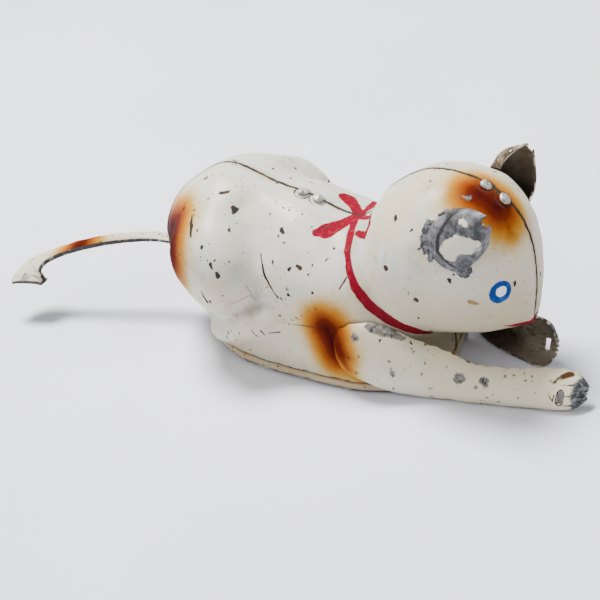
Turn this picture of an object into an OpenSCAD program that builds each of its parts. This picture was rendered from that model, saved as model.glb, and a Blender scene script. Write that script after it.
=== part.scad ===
// Clockwork tin cat with a ball-play pose, life-size toy, millimetres.
// X runs from tail to nose, Y to the cat's left, Z up. The floor is z = 0.

/* [Tin body] */
// Thickness of the pressed tinplate
sheet = 0.4; // [0.3:0.05:0.6]
// Gap left at the centre seam by each half
seam_gap = 0.08; // [0.05:0.01:0.2]
// Height of the halves' lower edge above the floor
hem_z = 2.6; // [2:0.1:4]
// How far the haunch swells out of the flank
haunch_swell = 2.2; // [0:0.1:4]

/* [Base pan] */
// Height of the pan's turned-down rim
rim_h = 1.8; // [1:0.1:3]
// How far the pan stands out past the halves
pan_margin = 0.6; // [0.3:0.1:1.5]

/* [Motor] */
// Distance between the motor side plates
plate_gap = 14; // [12:0.5:18]
// Thickness of a motor side plate
plate_t = 0.8; // [0.6:0.1:1.2]
// Running clearance on the radius of each pivot
run_fit = 0.06; // [0.02:0.01:0.1]
// Teeth on the great wheel
great_teeth = 45; // [40:1:50]
// Teeth on the second wheel
second_teeth = 36; // [30:1:40]
// Leaves on each pinion
pinion_teeth = 10; // [8:1:12]
// Teeth on the winding ratchet
ratchet_teeth = 12; // [10:1:16]
// Turns of the mainspring
spring_turns = 6; // [4:1:9]

/* [Running gear] */
// Radius of the drive wheels
wheel_r = 7; // [6:0.5:8]
// Width of a drive wheel tread
wheel_w = 2.8; // [2:0.1:4]

/* [Tail] */
// Width of the tail channel at its root
tail_w = 4.6; // [3:0.1:6]
// Width of the spoon at the tail's tip
spoon_w = 11.5; // [8:0.5:14]
// Half-width of the slot the tail swings in
tail_slot = 8; // [6:0.5:10]

/* [Hidden] */
// ---- pressed halves: stations from the rump to the nose ----
// crest x, crest z, hem x, hem z, hem half-width, widest half-width, place of widest,
// straightness below it, sharpness of the seam ridge
stations = [
  [-15, 2.6, -15, 2.6, 0, 0, 0.5, 0.5, 0.8],
  [-18.8, 6.9, -14, 2.6, 5, 4.4, 0.5, 0.6, 0.8],
  [-24.2, 14.2, -11, 2.6, 7.8, 6.2, 0.46, 0.7, 0.9],
  [-28.6, 24, -5, 2.6, 12.8, 7.8, 0.46, 0.8, 0.9],
  [-23.2, 35.2, 2, 2.6, 16.6, 13.6, 0.45, 0.9, 0.45],
  [-13.6, 43.4, 9, 2.6, 18.6, 19.4, 0.42, 1, 0],
  [-2, 48.5, 16, 2.6, 19.8, 23.4, 0.46, 1, 0],
  [12, 44.4, 25, 2.6, 20.4, 21, 0.54, 1, 0],
  [21, 42.4, 34, 2.6, 20.8, 20.8, 0.52, 1, 0],
  [29, 39.3, 44, 2.6, 20, 20.8, 0.47, 0.9, 0],
  [34, 38.2, 52.5, 2.6, 15, 19.5, 0.46, 0.6, 0],
  [37, 38.9, 57.5, 3.2, 0, 17.2, 0.45, 0.2, 0],
  [40, 40.9, 58.5, 10, 0, 17, 0.47, 0, 0],
  [46, 48, 60, 11.5, 0, 18.3, 0.47, 0, 0],
  [57, 53.5, 65, 12.5, 0, 19.3, 0.45, 0, 0],
  [69, 52.2, 71, 13.5, 0, 17.8, 0.43, 0, 0],
  [77, 46.7, 76, 14.8, 0, 13, 0.42, 0, 0.1],
  [81, 38.5, 79.2, 15.8, 0, 7, 0.5, 0, 0.2],
  [81.6, 28, 80.3, 16.5, 0, 3.4, 0.55, 0, 0.2],
  [80.3, 18.3, 80.3, 18.3, 0, 0, 0.5, 0, 0]
];
last_station = len(stations) - 1;
shell_rows = 54;
shell_cols = 20;

function mix(a, b, t) = a + (b - a) * t;
function ease(t) = t * t * (3 - 2 * t);
function clamp(v, lo, hi) = min(hi, max(lo, v));
function unit(v) = v / max(norm(v), 0.000001);
// smooth curve through a table of stations, t from 0 to 1
function blend_at(table, k, f) =
  let (a = table[max(k - 1, 0)], b = table[k])
  let (c = table[k + 1], d = table[min(k + 2, len(table) - 1)])
  0.5 * (2 * b + (c - a) * f + (2 * a - 5 * b + 4 * c - d) * f * f + (3 * b - a - 3 * c + d) * f * f * f);
function along(table, t) =
  let (x = t * (len(table) - 1))
  let (k = min(floor(x), len(table) - 2))
  blend_at(table, k, x - k);
// soft oval swelling of the haunch on the flank
function swell(x, z) = haunch_swell * exp(-pow(pow((x + 3) / 20, 2) + pow((z - 25) / 19, 2), 1.5));
// one point of the right-hand half's outer skin
function skin_upper(s, v) =
  let (c = s[6], a = 90 * v / s[6], ridge = clamp(s[8], 0, 1))
  [c * mix(1 - cos(a), v / s[6], ridge), max(s[5], 0) * sin(a)];
function skin_lower(s, v) =
  let (c = s[6], k = clamp(s[7], 0, 1), t = (v - s[6]) / (1 - s[6]))
  let (e = max(s[4], 0), w = max(s[5], 0))
  [c + (1 - c) * mix(sin(90 * t), t, k), e + (w - e) * mix(cos(90 * t), 1 - ease(t), k)];
function skin(t, v) =
  let (s = along(stations, t))
  let (q = v <= s[6] ? skin_upper(s, v) : skin_lower(s, v))
  let (x = mix(s[0], s[2], q[0]), z = mix(s[1], s[3], q[0]))
  [x, -max(q[1] + swell(x, z) * min(1, q[1] / 8), seam_gap), max(z, hem_z)];

// ---- lofted sheet: outer grid, inner grid and the raw edges all round ----
function at(g, i, j) = g[clamp(i, 0, len(g) - 1)][clamp(j, 0, len(g[0]) - 1)];
function normal_at(g, i, j) =
  unit(cross(at(g, i + 1, j) - at(g, i - 1, j), at(g, i, j + 1) - at(g, i, j - 1)));
function inset(g, depth) =
  [for (i = [0:len(g) - 1]) [for (j = [0:len(g[0]) - 1]) at(g, i, j) - depth * normal_at(g, i, j)]];
function flat_list(g) = [for (row = g) for (p = row) p];

module sheet_between(outer, inner) {
  n = len(outer);
  m = len(outer[0]);
  o = n * m;
  skins = [for (i = [0:n - 2]) for (j = [0:m - 2])
    let (a = i * m + j, b = a + 1, c = a + m, d = c + 1)
    each [[a, b, d], [a, d, c], [o + a, o + d, o + b], [o + a, o + c, o + d]]];
  sides = [for (j = [0:m - 2])
    let (a = j, b = (n - 1) * m + j)
    each [[a, o + a, o + a + 1], [a, o + a + 1, a + 1],
          [b, b + 1, o + b + 1], [b, o + b + 1, o + b]]];
  ends = [for (i = [0:n - 2])
    let (a = i * m, b = i * m + m - 1)
    each [[a, a + m, o + a + m], [a, o + a + m, o + a],
          [b, o + b, o + b + m], [b, o + b + m, b + m]]];
  polyhedron(points = concat(flat_list(outer), flat_list(inner)), faces = concat(skins, sides, ends));
}

// ---- one pressed half, closed to a point at the rump and at the nose ----
module half_shell() {
  n = shell_rows;
  m = shell_cols + 1;
  grid = [for (i = [0:n]) [for (j = [0:shell_cols]) skin(i / n, j / shell_cols)]];
  deep = [for (i = [1:n - 1]) [for (j = [0:shell_cols])
    let (p = grid[i][j] + sheet * normal_at(grid, i, j))
    [p[0], min(p[1], -seam_gap), max(p[2], hem_z)]]];
  outer = [for (i = [1:n - 1]) grid[i]];
  k = n - 1;
  o = k * m;
  pole = 2 * o;
  tips = [grid[0][0], grid[0][0] + [1.2 * sheet, 0, 0], grid[n][0], grid[n][0] - [2 * sheet, 0, 0]];
  skins = [for (i = [0:k - 2]) for (j = [0:m - 2])
    let (a = i * m + j, b = a + 1, c = a + m, d = c + 1)
    each [[a, d, b], [a, c, d], [o + a, o + b, o + d], [o + a, o + d, o + c]]];
  rims = [for (i = [0:k - 2])
    let (a = i * m, b = i * m + m - 1)
    each [[a, o + a + m, a + m], [a, o + a, o + a + m],
          [b, o + b + m, o + b], [b, b + m, o + b + m]]];
  fans = [for (j = [0:m - 2])
    let (a = j, b = (k - 1) * m + j)
    each [[pole, a, a + 1], [pole + 1, o + a + 1, o + a],
          [pole + 2, b + 1, b], [pole + 3, o + b, o + b + 1]]];
  first = m - 1;
  last = (k - 1) * m;
  corners = [
    [pole, pole + 1, o], [pole, o, 0],
    [pole, first, o + first], [pole, o + first, pole + 1],
    [pole + 2, last, o + last], [pole + 2, o + last, pole + 3],
    [pole + 2, o + last + first, last + first], [pole + 2, pole + 3, o + last + first]];
  polyhedron(
    points = concat(flat_list(outer), flat_list(deep), tips),
    faces = concat(skins, rims, fans, corners));
}

// ---- colours ----
cream = [0.87, 0.85, 0.78];
bare_steel = [0.45, 0.45, 0.44];
bright_steel = [0.66, 0.66, 0.65];
blued = [0.25, 0.28, 0.34];
brassy = [0.72, 0.58, 0.3];
worn_gold = [0.5, 0.4, 0.27];

// ---- drawing helpers ----
// flat outline in X and Z, given thickness along Y from y0 to y1
module across(y0, y1) {
  translate([0, y1, 0]) rotate([90, 0, 0]) linear_extrude(y1 - y0) children();
}
module rod_y(r, y0, y1, x, z) {
  translate([x, y0, z]) rotate([-90, 0, 0]) cylinder(h = y1 - y0, r = r, $fn = 48);
}
module rod_z(r, z0, z1, x, y) {
  translate([x, y, z0]) cylinder(h = z1 - z0, r = r, $fn = 48);
}
module slab(lo, hi) {
  translate(lo) cube(hi - lo);
}

// ---- gear teeth ----
pressure = 20;
tooth_play = 0.04;
function roll(r, rb) = r <= rb ? 0 : sqrt(pow(r / rb, 2) - 1) * 180 / PI - acos(rb / r);
// half-angle of a tooth at radius r
function tooth_half(teeth, m, r) =
  let (rp = teeth * m / 2, rb = rp * cos(pressure))
  (PI * m / 4 - tooth_play) / rp * 180 / PI + roll(rp, rb) - roll(r, rb);
function polar(r, a) = [r * cos(a), r * sin(a)];
// outline with one tooth centred on angle turn
module gear_outline(teeth, m, addendum, dedendum, turn) {
  rp = teeth * m / 2;
  root = rp - dedendum;
  start = max(root, rp * cos(pressure));
  tip = rp + addendum;
  radii = [root, start + 0.01, mix(start, tip, 0.5), tip];
  polygon([for (k = [0:teeth - 1])
    let (c = turn + 360 * k / teeth)
    each concat(
      [for (r = radii) polar(r, c - tooth_half(teeth, m, max(r, start)))],
      [for (r = [radii[3], radii[2], radii[1], radii[0]])
        polar(r, c + tooth_half(teeth, m, max(r, start)))])]);
}

// ---- motor layout, in X and Z ----
great_m = 0.6;
second_m = 0.5;
axle = [2, wheel_r];
second_rise = 9;
second_reach = (second_teeth + pinion_teeth) * second_m / 2;
second = axle + [sqrt(pow(second_reach, 2) - pow(second_rise, 2)), second_rise];
great_reach = (great_teeth + pinion_teeth) * great_m / 2;
great_rise = 6;
great = second + [sqrt(pow(great_reach, 2) - pow(great_rise, 2)), great_rise];
great_to_second = atan2(second[1] - great[1], second[0] - great[0]);
second_to_axle = atan2(axle[1] - second[1], axle[0] - second[0]);
half_leaf = 180 / pinion_teeth;
inner_y = plate_gap / 2;
outer_y = inner_y + plate_t;
pillars_at = [[-6, 30], [-6, 9], [36.5, 33], [36.5, 9]];
plate_lo = [-10, 3];
plate_hi = [40, 36];

// arbor, pivot and pin radii
arbor_r = 2;
arbor_pivot_r = 1.3;
second_r = 1.4;
second_pivot_r = 1;
axle_r = 1.25;
pillar_r = 1.5;
pillar_pivot_r = 0.9;

// planes of the train along Y
great_y = [3.3, 4.1];
ratchet_y = [1.9, 2.8];
second_y = [5.4, 6.1];
spring_y = [-5.8, 0.2];

// tail swing
tail_pin = [-12, 0];
tail_z = 22;

module plate_outline() {
  corner = 4;
  polygon([
    [plate_lo[0] + corner, plate_lo[1]], [plate_hi[0] - corner, plate_lo[1]],
    [plate_hi[0], plate_lo[1] + corner], [plate_hi[0], plate_hi[1] - corner],
    [plate_hi[0] - corner, plate_hi[1]], [plate_lo[0] + corner, plate_hi[1]],
    [plate_lo[0], plate_hi[1] - corner], [plate_lo[0], plate_lo[1] + corner]]);
}
// two feet bent down through the pan
foot_x = [12, 32];
foot_w = 4;
module motor_plate(y0, arbor_hole) {
  y1 = y0 + plate_t;
  difference() {
    union() {
      across(y0, y1) plate_outline();
      for (x = foot_x) slab([x, y0, 1.2], [x + foot_w, y1, 3.2]);
    }
    rod_y(axle_r + run_fit, y0 - 1, y1 + 1, axle[0], axle[1]);
    rod_y(second_pivot_r + run_fit, y0 - 1, y1 + 1, second[0], second[1]);
    rod_y(arbor_hole + run_fit, y0 - 1, y1 + 1, great[0], great[1]);
    for (p = pillars_at) rod_y(pillar_pivot_r, y0 - 1, y1 + 1, p[0], p[1]);
    slab([bracket_tab[0] - 0.05, y0 - 1, bracket_z - 0.05], [bracket_tab[1] + 0.05, y1 + 1, bracket_z + 0.85]);
    across(y0 - 1, y1 + 1) translate([14, 31.5]) circle(r = 2.4, $fn = 48);
  }
}

// tail bracket, set between the plates and tabbed through them
bracket_z = 18.8;
bracket_tab = [-9, -7];

// ---- base pan ----
hem_front = 11 / last_station;
hem_steps = 36;
function hem_point(k) = skin(hem_front * clamp(k, 0, hem_steps) / hem_steps, 1);
function hem_out(k, margin) =
  let (d = hem_point(k + 1) - hem_point(k - 1))
  let (n = k == 0 ? [-1, 0] : (k == hem_steps ? [1, 0] : unit([d[1], -d[0]])))
  [hem_point(k)[0] + margin * n[0], min(hem_point(k)[1] + margin * n[1], 0)];
function pan_outline(margin) =
  concat([for (k = [0:hem_steps]) hem_out(k, margin)],
    [for (k = [hem_steps - 1:-1:1]) [hem_out(k, margin)[0], -hem_out(k, margin)[1]]]);
pan_top = hem_z - 0.1;
wheel_in = outer_y + 1.4;
wheel_out = wheel_in + wheel_w;

module base_pan() {
  color(cream) difference() {
    translate([0, 0, pan_top - rim_h]) linear_extrude(rim_h) polygon(pan_outline(pan_margin));
    translate([0, 0, pan_top - rim_h - 1]) linear_extrude(rim_h + 1 - sheet)
      polygon(pan_outline(pan_margin - sheet));
    for (side = [-1, 1]) {
      translate([axle[0], side * (wheel_in + wheel_out) / 2, pan_top])
        cube([14, wheel_w + 1.6, 4], center = true);
      for (x = foot_x)
        translate([x + foot_w / 2, side * (inner_y + outer_y) / 2, pan_top])
          cube([foot_w + 0.1, plate_t + 0.1, 4], center = true);
    }
  }
}

// ---- body halves ----
module tail_opening() {
  slab([-40, -tail_slot, tail_z - 0.2], [-18, tail_slot, tail_z + 2]);
}
module shell_right() {
  color(cream) difference() {
    half_shell();
    tail_opening();
  }
}
key_hole_r = 3.2;
module shell_left() {
  color(cream) difference() {
    mirror([0, 1, 0]) half_shell();
    tail_opening();
    rod_y(key_hole_r, 12, 30, great[0], great[1]);
  }
}

// bent tabs that lock the halves along the seam: x, z and slope
tabs_at = [[19.6, 42.9, 10], [23.8, 41.5, 22], [71, 51.2, 38], [75.4, 48.2, 49], [69, 13.1, 188]];
tab_r = 1.7;
module seam_tabs() {
  color(bright_steel) for (t = tabs_at)
    translate([t[0], 0, t[1]]) rotate([0, t[2], 0]) union() {
      slab([-tab_r, -2.2, 0.4], [tab_r, 0.9, 0.8]);
      translate([0, -2.2, 0.4]) cylinder(h = 0.4, r = tab_r, $fn = 32);
    }
}

// ---- arms: x, lower edge y and z, upper edge y and z, depth of the channel ----
arm_right_at = [
  [36.4, -21.3, 9, -21.3, 14.5, 0.5],
  [38.5, -21.5, 6.4, -21.1, 18.2, 1.4],
  [43.5, -21.3, 4.4, -19.9, 20, 2.6],
  [49, -20.4, 2.6, -17.2, 18.6, 3.4],
  [55, -17.9, 0.7, -14.6, 14.6, 3.8],
  [62, -15.8, 0, -12.6, 11.6, 4],
  [70, -14.4, 0, -11.8, 8.8, 4],
  [78.5, -12.9, 0, -9.6, 8, 4.2],
  [86, -11.3, 0, -7, 8.2, 4.6],
  [91, -10.2, 0.1, -5.8, 7.8, 4.6],
  [94.3, -9.2, 0.8, -5.8, 6.6, 3.8],
  [96.2, -8.2, 2.4, -6.6, 4.8, 1.6]
];
arm_left_at = [
  [36.4, 21.3, 9, 21.3, 14.5, 0.5],
  [38.5, 21.5, 6.4, 21.1, 18.2, 1.4],
  [43.5, 21.3, 4.4, 19.9, 20, 2.6],
  [48.5, 19.9, 2.6, 17.6, 18.6, 3.2],
  [54, 15.9, 1, 14.9, 15.6, 3.6],
  [60, 11.8, 0.1, 12.2, 13.2, 3.8],
  [66.3, 8.2, 0, 10, 12, 4],
  [72.5, 5.8, 0, 8.4, 12, 4.2],
  [77.5, 4, 0, 7.4, 12, 4.4],
  [80.5, 4.2, 0.8, 7, 10.8, 3.6],
  [82.6, 5.4, 3, 6.4, 7.6, 1.4]
];
arm_rows = 33;
arm_cols = 12;
function arm_point(table, side, t, v) =
  let (s = along(table, t), a = 180 * v - 90)
  [s[0], mix(s[1], s[3], (sin(a) + 1) / 2) + side * max(s[5], 0.2) * cos(a),
    max(mix(s[2], s[4], (sin(a) + 1) / 2), 0)];
module arm_channel(table, side, slot_x) {
  grid = [for (i = [0:arm_rows]) [for (j = [0:arm_cols])
    arm_point(table, side, i / arm_rows, j / arm_cols)]];
  deep = [for (row = inset(grid, side * sheet)) [for (p = row) [p[0], p[1], max(p[2], 0)]]];
  difference() {
    if (side < 0) sheet_between(deep, grid);
    else sheet_between(grid, deep);
    // slot that once carried the ball's axle
    slab([slot_x, min(0, side * 20), 2.6], [slot_x + 1.3, max(0, side * 20), 5.6]);
  }
}
module arm_right() {
  color(cream) arm_channel(arm_right_at, -1, 90.4);
}
module arm_left() {
  color(cream) arm_channel(arm_left_at, 1, 78.4);
}

// ---- ears: open tin cones standing on the skin ----
ear_seat = [0.789, 0.294];
ear_spread = [0.029, 0.103];
ear_rows = 7;
ear_swell = 1.5;
ear_cols = 20;
ear_lift = 0.5;
function ear_foot(a) =
  let (t = ear_seat[0] + ear_spread[0] * cos(a), v = ear_seat[1] + ear_spread[1] * sin(a))
  let (p = skin(t, v), du = skin(t + 0.004, v) - p, dv = skin(t, v + 0.01) - p)
  p - ear_lift * unit(cross(du, dv));
function ear_angle(j) = 10 + 250 * j / ear_cols;
ear_root = skin(ear_seat[0], ear_seat[1]);
function ear_point(rise, k, j) =
  let (b = ear_foot(ear_angle(j)), out = b - ear_root)
  let (top = ear_root + rise + 0.2 * out)
  mix(b, top, k) + ear_swell * sin(180 * k) * unit(out);
module ear(rise) {
  grid = [for (i = [0:ear_rows]) [for (j = [0:ear_cols]) ear_point(rise, i / ear_rows, j)]];
  sheet_between(grid, inset(grid, sheet));
}
module ear_right() {
  color(bare_steel) ear([9.2, -0.6, 7]);
}
module ear_left() {
  color(worn_gold) mirror([0, 1, 0]) ear([5.8, 0.4, 10.6]);
}

// ---- motor frame ----
module plate_right() {
  color(bright_steel) motor_plate(-outer_y, arbor_pivot_r);
}
module plate_left() {
  color(bright_steel) motor_plate(inner_y, arbor_r);
}
module pillars() {
  color(bare_steel) for (p = pillars_at) {
    rod_y(pillar_r, -inner_y, inner_y, p[0], p[1]);
    rod_y(pillar_pivot_r, -outer_y - 0.4, -inner_y, p[0], p[1]);
    rod_y(pillar_pivot_r, inner_y, outer_y + 0.4, p[0], p[1]);
  }
}

// ---- winding gear ----
key_collar = [22.4, 27.5];
key_bow_y = 31.4;
end_play = 0.25;
module winding_arbor() {
  color(bright_steel) {
    rod_y(arbor_r, -inner_y + end_play, key_collar[1] - 1, great[0], great[1]);
    rod_y(arbor_pivot_r, -outer_y - 0.6, -inner_y + end_play, great[0], great[1]);
  }
}
key_turn = -40;
module key() {
  wing = 6.4;
  color(brassy) translate([great[0], 0, great[1]]) rotate([0, key_turn, 0])
    translate([-great[0], 0, -great[1]]) difference() {
    union() {
      rod_y(3, key_collar[0], key_collar[1], great[0], great[1]);
      slab([great[0] - 2.4, key_collar[1] - 0.5, great[1] - 0.7],
        [great[0] + 2.4, key_bow_y + 1.5, great[1] + 0.7]);
      for (side = [-1, 1])
        rod_z(5.6, great[1] - 0.7, great[1] + 0.7, great[0] + side * wing, key_bow_y);
    }
    rod_y(arbor_r, key_collar[0] - 1, key_collar[1] - 1, great[0], great[1]);
    for (side = [-1, 1])
      rod_z(2.6, great[1] - 2, great[1] + 2, great[0] + side * wing, key_bow_y);
  }
}
ratchet_tip = 5.5;
ratchet_root = 4.3;
ratchet_turn = 97;
module ratchet_wheel() {
  step = 360 / ratchet_teeth;
  color(blued) difference() {
    across(ratchet_y[0], ratchet_y[1]) translate(great)
      polygon([for (k = [0:ratchet_teeth - 1])
        let (a = ratchet_turn + k * step)
        each [polar(ratchet_root, a), polar(ratchet_tip, a + 0.4),
              polar(mix(ratchet_tip, ratchet_root, 0.5), a + step / 2)]]);
    rod_y(arbor_r, 0, 5, great[0], great[1]);
  }
}
click_pin = great + polar(8.4, 55);
click_pin_r = 0.8;
module click() {
  tip_in = great + polar(4.62, ratchet_turn - 1.6);
  tip_out = great + polar(5.9, ratchet_turn - 1.2);
  knee = great + polar(5.35, 86);
  color(blued) difference() {
    union() {
      rod_y(1.6, ratchet_y[0] + 0.1, ratchet_y[1], click_pin[0], click_pin[1]);
      across(ratchet_y[0] + 0.1, ratchet_y[1])
        polygon([tip_in, knee, click_pin + [0.3, -0.8], click_pin + [-0.5, 1.2], tip_out]);
    }
    rod_y(click_pin_r + run_fit, 0, 5, click_pin[0], click_pin[1]);
  }
}
module click_rivet() {
  color(bare_steel) {
    rod_y(click_pin_r, ratchet_y[0] - 0.1, great_y[1] + 0.3, click_pin[0], click_pin[1]);
    rod_y(1.4, ratchet_y[0] - 0.5, ratchet_y[0] - 0.1, click_pin[0], click_pin[1]);
    rod_y(1.4, ratchet_y[1] + 0.15, great_y[0], click_pin[0], click_pin[1]);
  }
}
module great_wheel() {
  color(brassy) difference() {
    across(great_y[0], great_y[1]) translate(great)
      gear_outline(great_teeth, great_m, 0.6 * great_m, 1.15 * great_m, great_to_second);
    rod_y(arbor_r + run_fit, 0, 8, great[0], great[1]);
    rod_y(click_pin_r, 0, 8, click_pin[0], click_pin[1]);
    for (a = [145:90:325])
      rod_y(2.6, 0, 8, great[0] + 8 * cos(a), great[1] + 8 * sin(a));
  }
}
// flat coil from the arbor out to a frame pillar
spring_steps = 20;
spring_t = 0.3;
spring_end = pillars_at[3] - great;
function coil_point(k) =
  let (total = spring_turns * spring_steps, over = max(k - total, 0) / 4)
  let (angle = atan2(spring_end[1], spring_end[0]) - 44 + 44 * (1 - pow(1 - over, 2)))
  let (reach = mix(9.4, norm(spring_end) - pillar_r - 0.25, over * over))
  k > total ? polar(reach, angle)
    : polar(mix(arbor_r + 0.3, 9.4, k / total), angle + 360 * (k - total) / spring_steps);
module mainspring() {
  count = spring_turns * spring_steps + 4;
  path = [for (k = [0:count]) coil_point(k)];
  side = [for (k = [0:count])
    let (d = unit(path[min(k + 1, count)] - path[max(k - 1, 0)]))
    spring_t / 2 * [-d[1], d[0]]];
  color(blued) across(spring_y[0], spring_y[1]) translate(great)
    polygon(concat([for (k = [0:count]) path[k] + side[k]], [for (k = [count:-1:0]) path[k] - side[k]]));
}

// ---- second arbor ----
module second_arbor() {
  color(bright_steel) {
    rod_y(second_r, -inner_y + end_play, inner_y - end_play, second[0], second[1]);
    rod_y(second_pivot_r, -outer_y - 0.5, -inner_y + end_play, second[0], second[1]);
    rod_y(second_pivot_r, inner_y - end_play, outer_y + 0.5, second[0], second[1]);
  }
}
module second_pinion() {
  color(bright_steel) difference() {
    across(great_y[0] - 0.4, second_y[0]) translate(second)
      gear_outline(pinion_teeth, great_m, 0.85 * great_m, 0.85 * great_m, great_to_second + 180 + half_leaf);
    rod_y(second_r, 0, 8, second[0], second[1]);
  }
}
module second_wheel() {
  color(brassy) difference() {
    across(second_y[0], second_y[1]) translate(second)
      gear_outline(second_teeth, second_m, 0.6 * second_m, 1.15 * second_m, second_to_axle);
    rod_y(second_r, 0, 8, second[0], second[1]);
    for (a = [0:90:270])
      rod_y(1.8, 0, 8, second[0] + 5.4 * cos(a), second[1] + 5.4 * sin(a));
  }
}
// slanted disc that sways the fork of the tail lever
wobble_r = 5.4;
wobble_tilt = 14;
module wobble_disc() {
  color(brassy) difference() {
    translate([second[0], 0, second[1]]) rotate([90, 0, wobble_tilt])
      translate([0, 0, -0.4]) cylinder(h = 0.8, r = wobble_r, $fn = 64);
    rod_y(second_r, -6, 6, second[0], second[1]);
  }
}

// ---- drive axle and wheels ----
module drive_axle() {
  color(bright_steel) rod_y(axle_r, -wheel_out - 0.5, wheel_out + 0.5, axle[0], axle[1]);
}
module drive_pinion() {
  color(bright_steel) difference() {
    across(second_y[0] - 0.4, second_y[1] + 0.4) translate(axle)
      gear_outline(pinion_teeth, second_m, 0.85 * second_m, 0.8 * second_m, second_to_axle + 180 + half_leaf);
    rod_y(axle_r, 0, 8, axle[0], axle[1]);
  }
}
module drive_wheel(side) {
  lo = min(side * wheel_in, side * wheel_out);
  hub = min(side * (outer_y + 0.4), side * wheel_in);
  color(bare_steel) difference() {
    union() {
      rod_y(wheel_r, lo, lo + wheel_w, axle[0], axle[1]);
      rod_y(2.6, hub, hub + wheel_in - outer_y - 0.4, axle[0], axle[1]);
    }
    rod_y(axle_r, -20, 20, axle[0], axle[1]);
    // dished outer face
    translate([axle[0], side * wheel_out, axle[1]]) rotate([90, 0, 0]) difference() {
      cylinder(h = 1.6, r = wheel_r - 1, center = true, $fn = 64);
      cylinder(h = 2, r = 2.4, center = true, $fn = 48);
    }
  }
}
module wheel_right() {
  drive_wheel(-1);
}
module wheel_left() {
  drive_wheel(1);
}

// ---- tail: x, y, z, width, crown of the channel ----
tail_at = [
  [-15.5, 0, 22.3, tail_w, 0.4],
  [-24, -0.3, 22.4, tail_w, 0.7],
  [-33, -1.2, 22.5, tail_w, 1.3],
  [-43, -4.2, 21.8, 0.93 * tail_w, 1.8],
  [-53, -7.3, 20, 0.93 * tail_w, 2],
  [-60.6, -10, 18, tail_w, 1.9],
  [-65.6, -12.2, 16.2, 0.62 * spoon_w, 1.8],
  [-68, -14.4, 14.6, 0.92 * spoon_w, 1.8],
  [-68.7, -16.6, 13, spoon_w, 1.7],
  [-68.6, -18.4, 11.8, 0.85 * spoon_w, 1.4],
  [-68.3, -19.8, 10.9, 0.4 * spoon_w, 0.7]
];
tail_rows = 34;
tail_cols = 8;
function tail_point(t, v) =
  let (s = along(tail_at, t), q = along(tail_at, min(t + 0.01, 1)) - along(tail_at, max(t - 0.01, 0)))
  let (run = unit([q[0], q[1], q[2]]), across_run = unit([run[1], -run[0], 0]))
  let (lift = cross(run, across_run), a = 180 * v - 90)
  [s[0], s[1], s[2]] + s[3] / 2 * sin(a) * across_run - s[4] * cos(a) * lift;
module tail() {
  grid = [for (i = [0:tail_rows]) [for (j = [0:tail_cols]) tail_point(i / tail_rows, j / tail_cols)]];
  color(cream) sheet_between(grid, inset(grid, sheet));
}
lever_z = tail_z - 0.8;
module tail_lever() {
  fork_x = second[0] - wobble_r - 0.5;
  drop = second[1] - 1;
  color(bright_steel) difference() {
    union() {
      rod_z(3.4, lever_z, lever_z + 0.8, tail_pin[0], tail_pin[1]);
      slab([-20.5, -1.8, lever_z], [-4, 1.8, lever_z + 0.8]);
      slab([-4.8, -3, drop], [-4, 3, lever_z + 0.8]);
      for (side = [-1, 1])
        slab([-4.8, side * 2.4 - 0.6, drop], [fork_x, side * 2.4 + 0.6, drop + 2]);
    }
    rod_z(1.2 + run_fit, 0, 40, tail_pin[0], tail_pin[1]);
  }
}
module tail_bracket() {
  color(bright_steel) difference() {
    union() {
      slab([-15, -5, bracket_z], [-9.5, 5, bracket_z + 0.8]);
      slab([-10, -inner_y, bracket_z], [-6.8, inner_y, bracket_z + 0.8]);
      slab([bracket_tab[0], -outer_y - 0.6, bracket_z], [bracket_tab[1], outer_y + 0.6, bracket_z + 0.8]);
    }
    rod_z(1.2, 0, 40, tail_pin[0], tail_pin[1]);
  }
}
module tail_pivot() {
  color(bare_steel) {
    rod_z(1.2, bracket_z - 0.6, lever_z + 1, tail_pin[0], tail_pin[1]);
    rod_z(2, bracket_z + 0.8, lever_z - 0.15, tail_pin[0], tail_pin[1]);
    rod_z(2, lever_z + 0.95, lever_z + 1.5, tail_pin[0], tail_pin[1]);
  }
}

module tail_rivet() {
  color(bare_steel) {
    rod_z(0.9, lever_z - 0.6, tail_z + 1.9, -19, -0.1);
    rod_z(1.5, lever_z - 1, lever_z - 0.4, -19, -0.1);
    rod_z(1.6, tail_z + 1.5, tail_z + 2, -19, -0.1);
  }
}

shell_right();
shell_left();
base_pan();
seam_tabs();
arm_right();
arm_left();
ear_right();
ear_left();
plate_right();
plate_left();
pillars();
winding_arbor();
key();
ratchet_wheel();
click();
click_rivet();
great_wheel();
mainspring();
second_arbor();
second_pinion();
second_wheel();
wobble_disc();
drive_axle();
drive_pinion();
wheel_right();
wheel_left();
tail();
tail_lever();
tail_bracket();
tail_pivot();
tail_rivet();
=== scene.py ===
import functools
import math

import bmesh
import bpy
import numpy as np
from mathutils import Matrix, Vector


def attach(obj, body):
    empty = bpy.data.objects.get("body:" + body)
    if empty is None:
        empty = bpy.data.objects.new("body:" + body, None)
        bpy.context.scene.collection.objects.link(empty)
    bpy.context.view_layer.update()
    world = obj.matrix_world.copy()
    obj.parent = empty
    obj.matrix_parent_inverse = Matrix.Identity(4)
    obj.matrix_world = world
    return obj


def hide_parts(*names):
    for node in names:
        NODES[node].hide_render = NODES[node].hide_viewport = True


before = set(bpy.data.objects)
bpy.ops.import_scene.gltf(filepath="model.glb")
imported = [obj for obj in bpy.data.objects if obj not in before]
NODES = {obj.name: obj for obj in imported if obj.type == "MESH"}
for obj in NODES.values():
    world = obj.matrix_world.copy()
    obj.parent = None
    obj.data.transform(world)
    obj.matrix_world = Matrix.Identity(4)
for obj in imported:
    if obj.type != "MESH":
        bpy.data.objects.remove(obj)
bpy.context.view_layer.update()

MM = 0.001
SHEET = 0.4
SEAM_GAP = 0.08
HEM_Z = 2.6

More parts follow.
